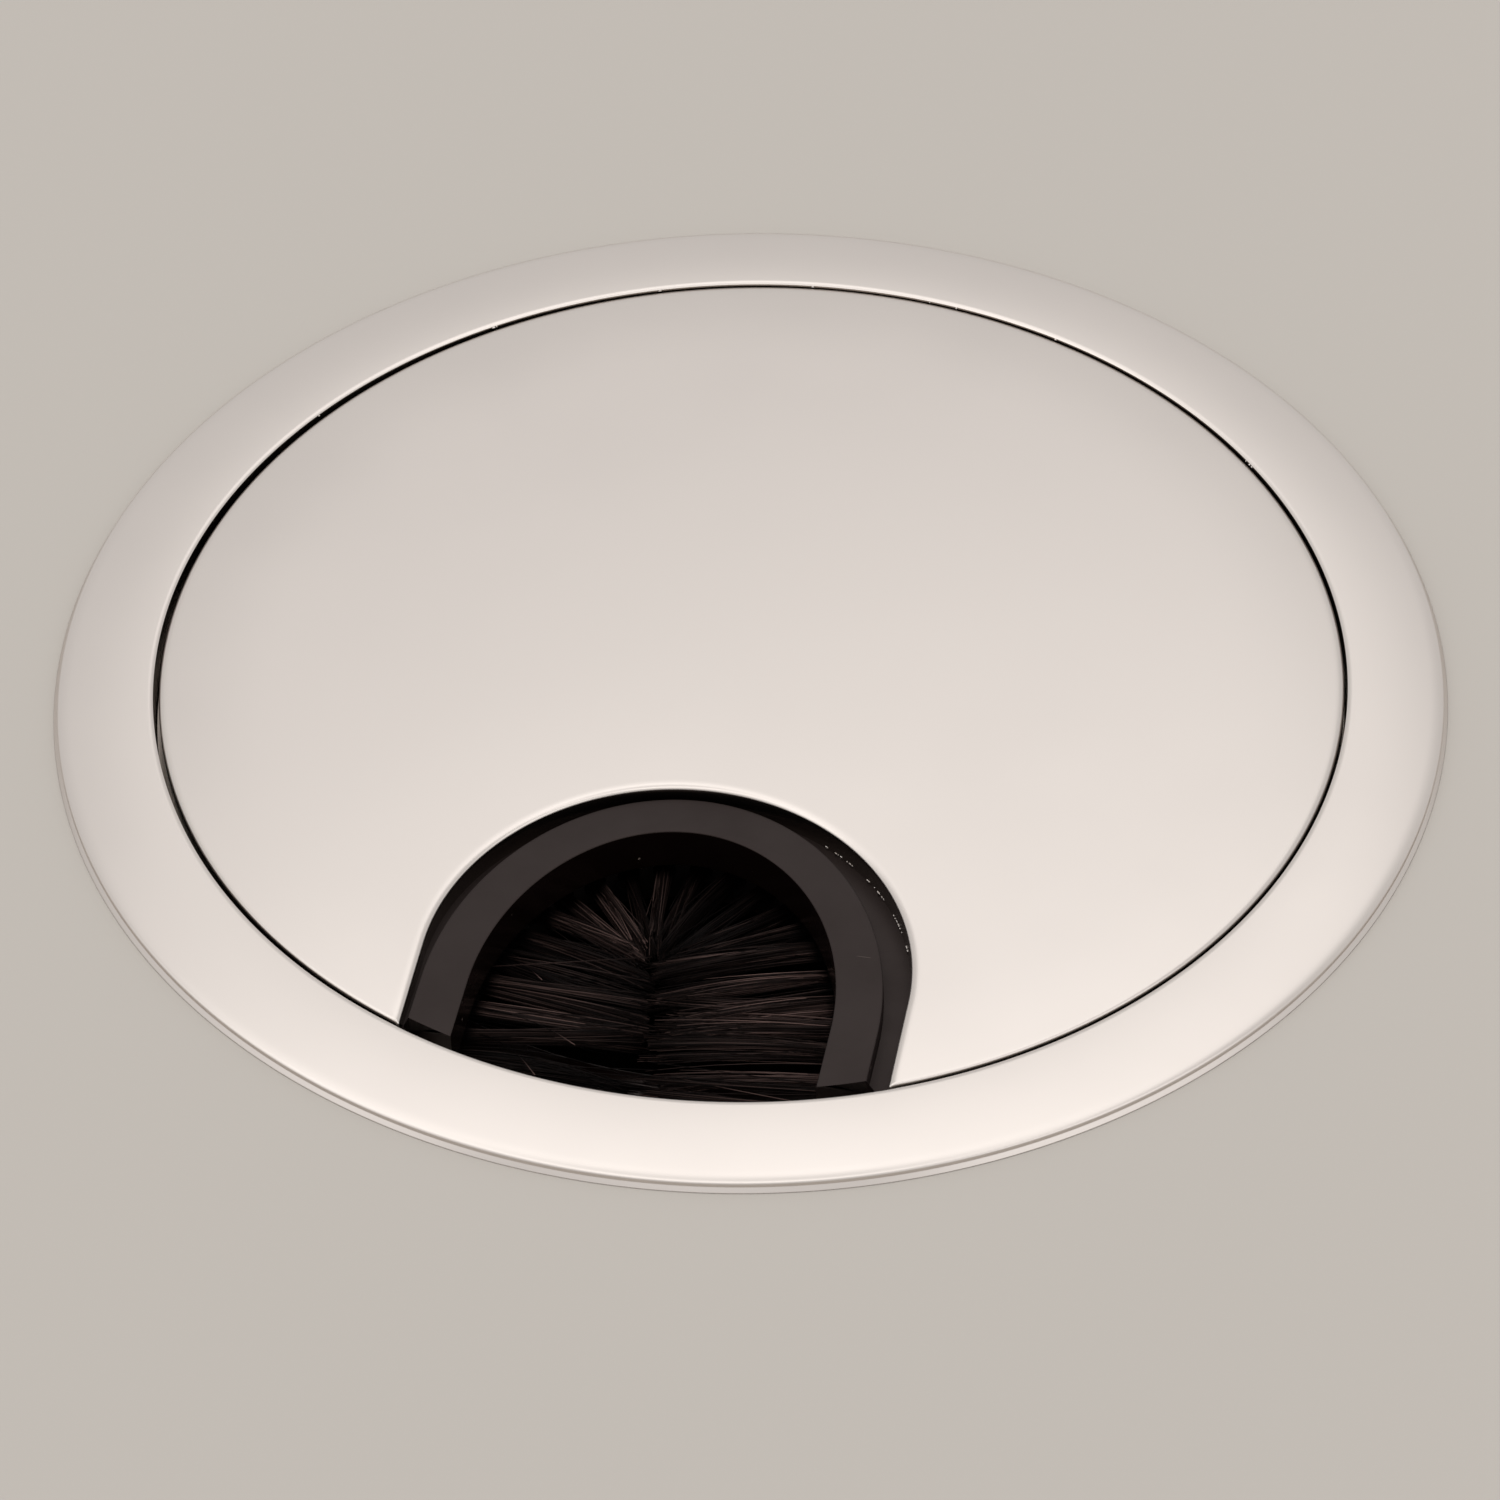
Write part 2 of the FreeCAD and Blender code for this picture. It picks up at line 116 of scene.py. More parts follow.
# Burrs: their half sizes, and for each edge their number, the turns they lie between and their height
BURR_LONG = (0.05, 0.16)
BURR_WIDE = (0.03, 0.07)
BURR_TALL = (0.04, 0.08)
CUT_BURR_COUNT = 34
CUT_BURR_TURNS = (20.0, 60.0)
CUT_BURR_LEVEL = -0.08
RIM_BURR_COUNT = 26
RIM_BURR_TURNS = (-46.0, -27.0)
RIM_BURR_R = 37.5
RIM_BURR_LEVEL = 0.94
BORE_BURR_COUNT = 11
BORE_BURR_TURNS = (35.0, 150.0)
BORE_BURR_R = 38.06
BORE_BURR_LEVEL = 1.0
RING_SEED = 5
LID_SEED = 7

# Outlet through the lid
CUT_HALF_WIDTH = 15.0
CUT_ARCH_LENGTH = 15.6
CUT_CENTRE_Y = -27.8

# Brush carrier
SHIFT_X = -0.45
SHIFT = np.array([SHIFT_X, 0, 0])
MOUTH_HALF_WIDTH = 11.2
MOUTH_ARCH_LENGTH = 15.15
MOUTH_CENTRE_Y = -30.7
RIB_WIDTH = 2.9
RIB_TOP_Z = 1.0
CARRIER_TOP_Z = -0.2
GROOVE_TOP_Z = -2.0
GROOVE_FLOOR_Z = -5.2
LIP_BOTTOM_Z = -6.4
GROOVE_DEPTH = 5.1
GROOVE_OUTER = 6.5
WALL_REACH = 0.06
CARRIER_TOP_WIDTH = 7.4
LIP_SET_BACK = 1.6
TOE_WIDTH = 4.6
TOE_BOTTOM_Z = -1.4
TOE_END_R = 37.1
CARRIER_BODY_R = 36.4
CARRIER_COLUMNS = 220
SECTION_STEP = 0.35
BRIDGE_INNER_R = 30.5
BRIDGE_COLUMNS = 90
EAR_ANGLES = (-70.0, -36.0, 36.0, 70.0)
EAR_SPACING = 9.6
EAR_R = 3.6
EAR_HOLE_R = 2.3
EAR_INSET = 0.02
TUBE_COLUMNS = 64
TUBE_ROUND = 0.1
MARK_PLACE = (11.7, -24.35)
MARK_SIZE = (0.48, 0.03, 0.012)

# Brush
TUFT_COUNT = 23
TUFT_SET_BACK = 1.2
TUFT_LAST_Y = -33.2
TUFT_Z = -3.55
TUFT_DEPTH = 2.0
TUFT_R = 0.6
TUFT_LINE_POINTS = 4000
BRUSH_SEED = 23
STRANDS = 150
STRAND_RINGS = 8
STRAND_SIDES = 4
STRAND_ROOT_R = 0.043
STRAND_TIP_R = 0.028
GOLDEN_ANGLE = 2.39996
# Locks: how far they part across and up, by the room beside the tuft, and how short they stay
LOCKS = 5
LOCK_SPREAD = 1.25
LOCK_LEAST_SPREAD = 0.25
LOCK_SPREAD_BY_ROOM = 1.2
LOCK_LIFT = 0.45
LOCK_WIDTH = 0.6
LOCK_BOW = 0.3
LOCK_RISE = (-0.1, 0.4)
LOCK_PAST = 0.3
LOCK_PAST_BY_ROOM = 0.7
LOCK_SHORT = 1.2
LOCK_TONE = (0.12, 1)
LEAST_LOOSENESS = 0.3
# Strands: how far each one leaves its lock, ends short of it and bows, and how much more a stray does
STRAND_WANDER = 0.12
STRAND_SHORT = 0.7
STRAND_BOW = 0.05
STRAND_LEAST_TONE = 0.06
STRAND_TONE_POWER = 4
STRAY_SHARE = 0.1
STRAY_WANDER = 5.0
# Painted sheen of each tuft, from the front left round to the front right: a painted highlight on tufts the
# light falls on, painted shade on the others
TUFT_PAINTED_SHEEN = (0.1, 0.3, 0.5, 0.5, 0.15, 0.2, 0.5, 0.55, 0.75, 0.25, 0.35, 0.1,
             0.05, 0.08, 0.15, 0.2, 0.6, 0.7, 0.75, 0.85, 0.9, 0.8, 0.6)
# Where the painted shade over the roots gives way to the pale painted sheen, and where that sheen thins to
# the share below towards the tips, in millimetres out of the hole
PAINTED_ROOT_SHADE = (0.9, 1.9)
PAINTED_SHEEN_FADE = (5.0, 11.0)
TIP_SHEEN = 0.4
FOCUS = np.array([-1.2, -23.2, TUFT_Z])
FOCUS_CLEARANCE = 0.9
SEAM_FRONT_X = 0.4
SEAM_CLEARANCE = 0.05
RIGHT_LEAN = 3.6
RIGHT_LEAN_LOSS = 0.27
RIGHT_LEAN_START_Y = -22.0
LEFT_LEAN = 1.9
LEFT_LEAN_LOSS = 0.5
LEFT_LEAN_START_Y = -25.5
LEAST_LEAN = 0.4
FRONT_LEFT_LEANS = (-0.4, -1.7)
END_TUFT_DROP = 0.4
# Stray hairs: the tuft each one leaves, where it ends, and how far it bows to the back and up
STRAY_HAIRS = ((4, (-8.06, -26.35, -2.5), 0.3, 0.3), (1, (-6.82, -34.18, -2.6), 1.0, 0.3),
               (2, (-4.93, -31.39, -2.5), 0.55, 0.3))
# A hair carries the painted shade and painted sheen of a strand that runs from HAIR_LAG inside its hole over
# HAIR_RUN outwards
HAIR_RUN = 2.3
HAIR_LAG = 0.9

# Board and the dark disc under the bore, a sheet of painted shade: both are stage
FLOOR_RADII = np.array([40.0, 44.3, 60, 120, 300, 900, 3000])
FLOOR_COLUMNS = 180
FLOOR_Z = -0.03
DISC_GAP = 0.02
FLANGE_LEAK = 0.5
DISC_LEAK = 0.6
DISC_LEAK_FROM_Y = 0.008

# Studio: levels of light, and the values of X squared, Y and Z between which each begins
WALL_LIGHT = 0.74
BOX_LIGHT = 1.41
BOX_LEAN = -0.16
BOX_CURVE = -1.42
BOX_CURVE_LIMIT = 0.14
BOX_EDGE = (0.65, 0.69)
RING_LIGHT = 0.35
RING_EDGE = (0.87, 0.93)
MIDDLE_LIGHT = -0.8
MIDDLE_EDGE = (0.94, 0.99)
SIDE_LIGHT = 0.6
SIDE_INNER_EDGE = (0.2, 0.34)
SIDE_LOWER_EDGE = (0.35, 0.5)
SIDE_BACK_EDGE = (0.1, -0.05)

# Camera: where the photograph was taken from, found from the ring's outlines
CAMERA_DISTANCE = 400.0
CAMERA_AZIMUTH = 11.5
CAMERA_ELEVATION = 43.14
CAMERA_ROLL = -1.1
CAMERA_DIP = 0.67
CAMERA_LENS = 149.9
CAMERA_SENSOR = 36


def colour(code):
    """sRGB hex code to linear red, green, blue and an alpha of one."""
    parts = np.array([int(code[i:i + 2], 16) for i in (1, 3, 5)]) / 255
    linear = np.where(parts <= 0.04045, parts / 12.92, ((parts + 0.055) / 1.055) ** 2.4)
    return (*linear.tolist(), 1.0)


def add(tree, kind, settings=None, sockets=None, links=None):
    """One node with its settings, its own socket values and its incoming links."""
    made = tree.nodes.new(kind)
    for name, value in (settings or {}).items():
        setattr(made, name, value)
    for name, value in (sockets or {}).items():
        made.inputs[name].default_value = value
    for name, source in (links or {}).items():
        tree.links.new(source, made.inputs[name])
    return made


def reckoned(tree, operation, *terms, clamp=False):
    """A math node's output, from numbers and other nodes' outputs in the order of its sockets."""
    made = add(tree, "ShaderNodeMath", {"operation": operation, "use_clamp": clamp})
    for number, term in enumerate(terms):
        if isinstance(term, (int, float)):
            made.inputs[number].default_value = term
        else:
            tree.links.new(term, made.inputs[number])
    return made.outputs["Value"]


def mapped(tree, source, start, end, low=0.0, high=1.0, kind="LINEAR"):
    """The source's values from start to end, carried to those from low to high and held beyond."""
    made = add(tree, "ShaderNodeMapRange", {"interpolation_type": kind},
               {"From Min": start, "From Max": end, "To Min": low, "To Max": high}, {"Value": source})
    return made.outputs["Result"]


def stepped(tree, source, edge, low=0.0, high=1.0):
    """A smooth step from low to high between the edge's two values."""
    return mapped(tree, source, *edge, low, high, "SMOOTHSTEP")


def own_place(tree):
    return add(tree, "ShaderNodeTexCoord").outputs["Object"]


def noise(tree, place, size, detail, roughness):
    """Noise whose features are about as large as the size in millimetres."""
    made = add(tree, "ShaderNodeTexNoise", {},
               {"Scale": 1 / (size * MM), "Detail": detail, "Roughness": roughness}, {"Vector": place})
    return made.outputs["Fac"]


def bumped(tree, height, strength, depth):
    made = add(tree, "ShaderNodeBump", {}, {"Strength": strength, "Distance": depth * MM}, {"Height": height})
    return made.outputs["Normal"]


def mixed(tree, share, first, second):
    """A colour between two hex codes."""
    made = add(tree, "ShaderNodeMix", {"data_type": "RGBA"},
               {"A": colour(first), "B": colour(second)}, {"Factor": share})
    return made.outputs["Result"]


def surface(tree, sockets, links):
    """The principled shader with its own values and links, as the material's surface."""
    shader = add(tree, "ShaderNodeBsdfPrincipled", {}, sockets, links)
    add(tree, "ShaderNodeOutputMaterial", {}, {}, {"Surface": shader.outputs["BSDF"]})


def new_material(name):
    material = bpy.data.materials.new(name)
    material.use_nodes = True
    material.node_tree.nodes.clear()
    return material, material.node_tree


def satin_nickel(name, hex_code, roughness):
    """Nickel plate over a bead-blasted zinc casting: a warm white metal whose fine, even tooth blurs
    what it mirrors, so the eye sees a soft sheen that drifts slowly over the dome."""
    material, tree = new_material(name)
    place = own_place(tree)
    # Blasting leaves pits of about 0.05 mm; they are drawn at 0.12 mm, the finest that shows.
    tooth = noise(tree, place, 0.12, 2.0, 0.6)
    # Handling and polishing leave cloudy patches about 12 mm across.
    cloud = noise(tree, place, 12, 3.0, 0.5)
    dull = mapped(tree, cloud, *NOISE_RANGE, roughness - 0.02, roughness + 0.02)
    surface(tree, {"Base Color": colour(hex_code), "Metallic": 1.0},
            {"Roughness": dull, "Normal": bumped(tree, tooth, 0.05, 0.02)})
    return material


def moulded_black(name, hex_code, roughness, specular):
    """Black plastic from an eroded mould: a fine even texture of about 0.14 mm that greys the black a
    little and never shows a sharp reflection."""
    material, tree = new_material(name)
    place = own_place(tree)
    grain = noise(tree, place, 0.14, 2.0, 0.6)
    smear = noise(tree, place, 4, 3.0, 0.55)
    dull = mapped(tree, smear, *NOISE_RANGE, roughness - 0.06, roughness + 0.06)
    # Dust: here and there a pale speck up to 0.2 mm wide.
    specks = add(tree, "ShaderNodeTexVoronoi", {}, {"Scale": 1 / (2.4 * MM)}, {"Vector": place})
    pale_share = mapped(tree, specks.outputs["Distance"], 0.05, 0.03)
    surface(tree, {"IOR": 1.5, "Specular IOR Level": specular, "Specular Tint": colour("#f6e0da")},
            {"Base Color": mixed(tree, pale_share, hex_code, "#6d625b"), "Roughness": dull,
             "Normal": bumped(tree, grain, 0.25, 0.02)})
    return material


def nylon_strand(name, dark, light, roughness, specular):
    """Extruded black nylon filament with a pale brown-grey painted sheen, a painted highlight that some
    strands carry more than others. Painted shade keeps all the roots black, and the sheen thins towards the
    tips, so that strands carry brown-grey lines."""
    material, tree = new_material(name)
    tone = add(tree, "ShaderNodeAttribute", {"attribute_name": "tone"}).outputs["Fac"]
    out = add(tree, "ShaderNodeAttribute", {"attribute_name": "out"}).outputs["Fac"]
    # Painted shade: the roots stay black out of the hole, and the pale painted sheen thins towards the tips.
    reach = stepped(tree, out, PAINTED_ROOT_SHADE)
    tip_fade = stepped(tree, out, PAINTED_SHEEN_FADE, 1.0, TIP_SHEEN)
    painted_light_along = reckoned(tree, "MULTIPLY", reach, tip_fade)
    # Each strand's share of the pale colour, which is painted sheen.
    pale_share = reckoned(tree, "MULTIPLY", tone, painted_light_along)
    surface(tree, {"IOR": 1.53, "Roughness": roughness, "Specular IOR Level": specular},
            {"Base Color": mixed(tree, pale_share, dark, light)})
    return material


def small_fixing(name, hex_code, roughness):
    """Clear-zinc plated or bare drawn metal of small fixings, with a faint cloudiness."""
    material, tree = new_material(name)
    cloud = noise(tree, own_place(tree), 1.5, 2.0, 0.5)
    dull = mapped(tree, cloud, 0.0, 1.0, roughness - 0.08, roughness + 0.08)
    surface(tree, {"Base Color": colour(hex_code), "Metallic": 1.0}, {"Roughness": dull})
    return material


def quads(rows, columns, close_rows=False, close_columns=False):
    """Corner numbers of the faces of a grid whose points run along its columns first."""
    r = np.arange(rows if close_rows else rows - 1)
    c = np.arange(columns if close_columns else columns - 1)
    r, c = np.meshgrid(r, c, indexing="ij")
    below = (r + 1) % rows
    beside = (c + 1) % columns
    found = [r * columns + c, r * columns + beside, below * columns + beside, below * columns + c]
    return np.stack(found, -1).reshape(-1, 4)


def new_mesh(name, points, corners, numbers, materials):
    """A mesh of four-cornered faces from whole arrays of points, corner numbers and material numbers."""
    mesh = bpy.data.meshes.new(name)
    mesh.vertices.add(len(points))
    mesh.vertices.foreach_set("co", points.astype(np.float32).ravel())
    mesh.loops.add(corners.size)
    mesh.loops.foreach_set("vertex_index", corners.astype(np.int32).ravel())
    mesh.polygons.add(len(corners))
    mesh.polygons.foreach_set("loop_start", np.arange(0, corners.size, 4, dtype=np.int32))
    mesh.polygons.foreach_set("material_index", numbers.astype(np.int32))
    for material in materials:
        mesh.materials.append(material)
    mesh.update(calc_edges=True)
    return mesh


def smooth(mesh):
    mesh.polygons.foreach_set("use_smooth", np.ones(len(mesh.polygons), dtype=bool))


def placed(name, mesh, nodes):
    """The mesh as an object that rides with the part and stands for its CAD nodes."""
    made = bpy.data.objects.new(name, mesh)
    bpy.context.scene.collection.objects.link(made)
    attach(made, "root")
    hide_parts(*nodes)


def piece(name, shells, materials, nodes):
    """One object from shells of points in millimetres, faces and a material number. Doubles are merged, so
    that seams and poles close, and then every shell's faces are turned outwards."""
    count = 0
    points = []
    corners = []
    numbers = []
    for place, faces, number in shells:
        points.append(place.reshape(-1, 3))
        corners.append(faces + count)
        numbers.append(np.full(len(faces), number) if np.isscalar(number) else number)
        count += len(points[-1])
    points, corners, numbers = (np.concatenate(rows) for rows in (points, corners, numbers))
    mesh = new_mesh(name, points * MM, corners, numbers, materials)
    work = bmesh.new()
    work.from_mesh(mesh)
    bmesh.ops.remove_doubles(work, verts=work.verts, dist=MERGE_DISTANCE * MM)
    bmesh.ops.dissolve_degenerate(work, edges=work.edges, dist=SLIVER_LENGTH * MM)
    bmesh.ops.recalc_face_normals(work, faces=work.faces)
    work.to_mesh(mesh)
    work.free()
    smooth(mesh)
    mesh.set_sharp_from_angle(angle=math.radians(SHARP_DEGREES))
    mesh.update()
    placed(name, mesh, nodes)


def rounded(corners):
    """A closed outline from (x, y, round) corners. Each corner is swept by a quadratic curve whose ends
    lie that round's length before and after it. Points that repeat the one before are left out."""
    place = np.array([c[:2] for c in corners], float)
    reach = np.array([c[2] for c in corners], float)[:, None]
    before = np.roll(place, 1, axis=0) - place
    after = np.roll(place, -1, axis=0) - place
    start = place + before / np.linalg.norm(before, axis=1)[:, None] * reach
    end = place + after / np.linalg.norm(after, axis=1)[:, None] * reach
    t = np.linspace(0, 1, ROUND_POINTS)[None, :, None]
    curve = (1 - t) ** 2 * start[:, None] + 2 * t * (1 - t) * place[:, None] + t ** 2 * end[:, None]
    outline = curve.reshape(-1, 2)
    gap = np.linalg.norm(outline - np.roll(outline, 1, axis=0), axis=1)
    return outline[gap > REPEAT_GAP]


def turned(outline, columns, centre=(0.0, 0.0)):
    """A closed outline of (radius, height) carried round a vertical axis."""
    angle = np.linspace(0, 2 * np.pi, columns, endpoint=False)
    r, z = outline[:, :1], outline[:, 1:]
    x = centre[0] + r * np.cos(angle)
    y = centre[1] + r * np.sin(angle)
    points = np.stack([x, y, np.broadcast_to(z, x.shape)], -1)
    return points, quads(len(outline), columns, close_rows=True, close_columns=True)


def flange_face(r):
    """Height of the flange's face: a straight fall from the bore with a shallow parabola on it."""
    share = (r - FACE_START_R) / (FACE_END_R - FACE_START_R)
    return FLANGE_CROWN_Z - FLANGE_FALL * (r - FACE_START_R) + FLANGE_BULGE * 4 * share * (1 - share)


def ring_outline():
    """Section of the desk ring. The shoulder is a quadratic curve that leaves the face without a crease
    and ends upright, and a small sloping ledge runs round the foot."""
    crown_r = np.linspace(BORE_R + BORE_EDGE, SHOULDER_START_R, FACE_POINTS)
    start_z = flange_face(SHOULDER_START_R)
    slope = (start_z - flange_face(SHOULDER_START_R - SLOPE_STEP)) / SLOPE_STEP
    turn_z = start_z + slope * (FOOT_LEDGE_R - SHOULDER_START_R)
    t = np.linspace(0, 1, SHOULDER_POINTS)[1:]
    shoulder_r = (1 - t) ** 2 * SHOULDER_START_R + (1 - (1 - t) ** 2) * FOOT_LEDGE_R
    shoulder_z = (1 - t) ** 2 * start_z + 2 * t * (1 - t) * turn_z + t ** 2 * SHOULDER_END_Z
    outline = [(r, z, 0.0) for r, z in zip(crown_r, flange_face(crown_r))]
    outline += [(r, z, 0.0) for r, z in zip(shoulder_r, shoulder_z)]
    outline += [
        (FOOT_LEDGE_R, FOOT_LEDGE_Z, 0.03),
        (FLANGE_R, FOOT_Z, 0.03),
        (FLANGE_R, 0.0, 0.02),
        (BARREL_R, 0.0, 0.1),
        (BARREL_R, BARREL_BOTTOM_Z, 0.6),
        (BORE_R, BARREL_BOTTOM_Z, 0.1),
        (BORE_R, LEDGE_Z - LEDGE_THICKNESS - (BORE_R - LEDGE_R), 0.1),
        (LEDGE_R, LEDGE_Z - LEDGE_THICKNESS, 0.1),
        (LEDGE_R, LEDGE_Z, 0.1),
        (BORE_R, LEDGE_Z, 0.1),
        (BORE_R, flange_face(BORE_R) - BORE_EDGE_DROP, 0.02),
    ]
    return rounded(outline)


def u_line(half_width, length, centre_y, end_y, columns):
    """Points along a U in plan: up its left leg, round half an ellipse and down its right leg.
    end_y may hold one value for each row of an array of half widths."""
    half_width = np.atleast_1d(half_width).astype(float)[:, None]
    length = np.atleast_1d(length).astype(float)[:, None]
    end_y = np.atleast_1d(end_y).astype(float)[:, None]
    leg = int(columns * LEG_SHARE)
    arch = columns - 2 * leg
    down = np.linspace(0, 1, leg + 1)[None, 1:]
    turn = np.linspace(np.pi, 0, arch)[None]
    x = half_width * np.cos(turn)
    y = centre_y + length * np.sin(turn)
    right_x = half_width + 0 * down
    leg_y = centre_y + (end_y - centre_y) * down
    x = np.concatenate([-right_x[:, ::-1], x, right_x], 1)
    y = np.concatenate([leg_y[:, ::-1], y, leg_y], 1)
    return x, y


def cut_distance(x, y):
    """How far a point of the lid is from the outlet's outline: from the leg's line in front of the arch's
    centre, and from the ellipse behind it, where it is the ellipse's own value over its slope."""
    beside = np.abs(x) - CUT_HALF_WIDTH
    rise = np.maximum(y - CUT_CENTRE_Y, 0)
    value = np.sqrt((x / CUT_HALF_WIDTH) ** 2 + (rise / CUT_ARCH_LENGTH) ** 2)
    steepness = np.sqrt((x / CUT_HALF_WIDTH ** 2) ** 2 + (rise / CUT_ARCH_LENGTH ** 2) ** 2)
    slope = steepness / np.maximum(value, TINY)
    behind = (value - 1) / np.maximum(slope, TINY)
    return np.where(y < CUT_CENTRE_Y, beside, behind)


def lid_height(x, y, rim_reach):
    """The domed face: a parabola from the crown, and a steeper power curve added over the last few
    millimetres before the rim. Towards the outlet it falls by a parabola of the distance from it. Both
    edges end in a quarter of a flat ellipse, for which rim_reach gives the distance from the rim; the
    rim's ellipse is flatter towards the back."""
    r = np.hypot(x, y)
    roll = np.maximum(r - LID_ROLL_R, 0) / (LID_R - LID_ROLL_R)
    cut_reach = cut_distance(x, y)
    fall = np.clip(1 - cut_reach / CUT_FALL_WIDTH, 0, 1)
    z = LID_CROWN_Z - LID_DOME_DROP * (r / LID_R) ** 2
    z = z - LID_ROLL_DROP * roll ** LID_ROLL_POWER
    z = z - CUT_FALL * fall ** 2
    backness = np.maximum(y / np.maximum(r, TINY), 0) ** 2
    rim_drop = RIM_ROUND_DROP * (1 - RIM_ROUND_SPARED_BACK * backness)
    for reach, size, drop in ((rim_reach, RIM_ROUND, rim_drop), (cut_reach, CUT_ROUND, CUT_ROUND_DROP)):
        inside = np.clip(1 - reach / size, 0, 1)
        z = z - drop * (1 - np.sqrt(1 - inside ** 2))
    return z


def rim_line(share):
    """The lid's rim from its left front corner round the back to the right one: a circle, grown to the
    right and by the square of y to the back. The growth to the right gets less towards the front."""
    start = math.asin(CUT_HALF_WIDTH / LID_R)
    angle = start + (2 * np.pi - 2 * start) * share
    out_x, out_y = -np.sin(angle), -np.cos(angle)
    corner = math.sin(start)
    rightness = np.maximum(out_x - corner, 0) / (1 - corner)
    grown = RIM_GROWTH_RIGHT * rightness + RIM_GROWTH_BACK * np.maximum(out_y, 0) ** 2
    grown -= RIM_LOSS_FRONT * rightness * np.maximum(-out_y, 0)
    return (LID_R + grown) * out_x, (LID_R + grown) * out_y


def lid_shell():
    """A closed section carried from one front corner of the lid round its back to the other. Each section
    runs from a point of the outlet to a point of the rim, and shrinks to nothing in both corners. The
    face takes the first material; the walls, the skirt and the underside take the second, a smoother nickel
    whose darker colour is painted shade."""
    corner_y = -math.sqrt(LID_R ** 2 - CUT_HALF_WIDTH ** 2)
    cut_x, cut_y = u_line(CUT_HALF_WIDTH, CUT_ARCH_LENGTH, CUT_CENTRE_Y, corner_y, LID_COLUMNS)
    cut_x, cut_y = cut_x[0], cut_y[0]
    step = np.hypot(np.diff(cut_x), np.diff(cut_y))
    rim_x, rim_y = rim_line(np.concatenate([[0], np.cumsum(step)]) / step.sum())
    span = np.hypot(rim_x - cut_x, rim_y - cut_y)
    near = CUT_ROUND * CUT_ROWS
    far = RIM_ROUND * RIM_ROWS[::-1]
    squeeze = np.minimum(1, span / (near[-1] + far[0] + LEAST_MIDDLE))
    low = near[:, None] * squeeze
    high = span - far[:, None] * squeeze
    middle = np.linspace(0, 1, MIDDLE_ROWS + 2)[1:-1, None]
    reach = np.concatenate([low, low[-1] + (high[0] - low[-1]) * middle, high])
    along = reach / np.maximum(span, TINY)
    x = cut_x + (rim_x - cut_x) * along
    y = cut_y + (rim_y - cut_y) * along
    z = lid_height(x, y, span - reach)
    face_rows = len(x)
    skirt = np.where(cut_distance(rim_x, rim_y) > SKIRT_RELIEF, LEDGE_Z, LID_UNDERSIDE_Z)
    inner = np.clip(1 - LID_SKIRT_WIDTH * squeeze / np.maximum(span, TINY), 0, 1)
    inner_x, inner_y = cut_x + (rim_x - cut_x) * inner, cut_y + (rim_y - cut_y) * inner
    wall_share = WALL_ROWS[:, None]
    rim_wall_z = skirt + (z[-1] - skirt) * wall_share
    cut_wall_z = LID_UNDERSIDE_Z + (z[0] - LID_UNDERSIDE_Z) * wall_share[::-1]
    flat = np.full_like(cut_x, LID_UNDERSIDE_Z)
    again = (len(WALL_ROWS), 1)
    x = np.concatenate([x, np.tile(rim_x, again), [inner_x, inner_x], np.tile(cut_x, again)])
    y = np.concatenate([y, np.tile(rim_y, again), [inner_y, inner_y], np.tile(cut_y, again)])
    z = np.concatenate([z, rim_wall_z, [skirt, flat], cut_wall_z])
    number = np.repeat(np.where(np.arange(len(x)) < face_rows - 1, 0, 1), x.shape[1] - 1)
    return np.stack([x, y, z], -1), quads(*x.shape, close_rows=True), number


def ball_angles(columns, rows):
    """The two angles of a coarse ball's points: round its axis, and from one pole to the other."""
    return np.linspace(0, 2 * np.pi, columns + 1)[None, :-1], np.linspace(0, np.pi, rows)[:, None]


def burrs(rng, turns, count, half_width, length, centre_y, level, number=0):
    """Small bright burrs that a cutter left along part of an edge: flattened spheres at random places on
    an ellipse, between two turns of it in degrees, each a little longer along the edge."""
    shells = []
    around, height = ball_angles(6, 5)
    for turn in np.radians(rng.uniform(*turns, count)):
        place = np.array([half_width * np.cos(turn), centre_y + length * np.sin(turn)])
        run = np.array([-half_width * np.sin(turn), length * np.cos(turn)])
        run /= np.linalg.norm(run)
        out = np.array([run[1], -run[0]])
        long, wide, tall = rng.uniform(*BURR_LONG), rng.uniform(*BURR_WIDE), rng.uniform(*BURR_TALL)
        a = long * np.sin(height) * np.cos(around)
        b = wide * np.sin(height) * np.sin(around)
        x = place[0] + run[0] * a + out[0] * b
        y = place[1] + run[1] * a + out[1] * b
        z = np.broadcast_to(level + tall * np.cos(height), x.shape)
        shells.append((np.stack([x, y, z], -1), quads(*x.shape, close_columns=True), number))
    return shells


def rubbed_mark():
    """A pale rub mark on the rib's face near the right leg: a flat ellipsoid that stands hardly above it."""
    around, height = ball_angles(8, 7)
    x = MARK_PLACE[0] + MARK_SIZE[0] * np.cos(height) + 0 * around
    y = MARK_PLACE[1] + MARK_SIZE[1] * np.sin(height) * np.cos(around)
    z = RIB_TOP_Z + MARK_SIZE[2] * np.sin(height) * np.sin(around)
    return np.stack([x, y, z], -1), quads(*x.shape, close_columns=True), 2


def ear_tubes(inner, outer, bottom, top):
    """A short tube about each of the four screws' axes."""
    outline = rounded([(outer, top, TUBE_ROUND), (outer, bottom, TUBE_ROUND),
                       (inner, bottom, TUBE_ROUND), (inner, top, TUBE_ROUND)])
    turn = np.radians(EAR_ANGLES)
    x = (MOUTH_HALF_WIDTH + EAR_SPACING) * np.sin(turn) + SHIFT_X
    y = MOUTH_CENTRE_Y + (MOUTH_ARCH_LENGTH + EAR_SPACING) * np.cos(turn)
    return [(*turned(outline, TUBE_COLUMNS, centre), 0) for centre in zip(x.tolist(), y.tolist())]


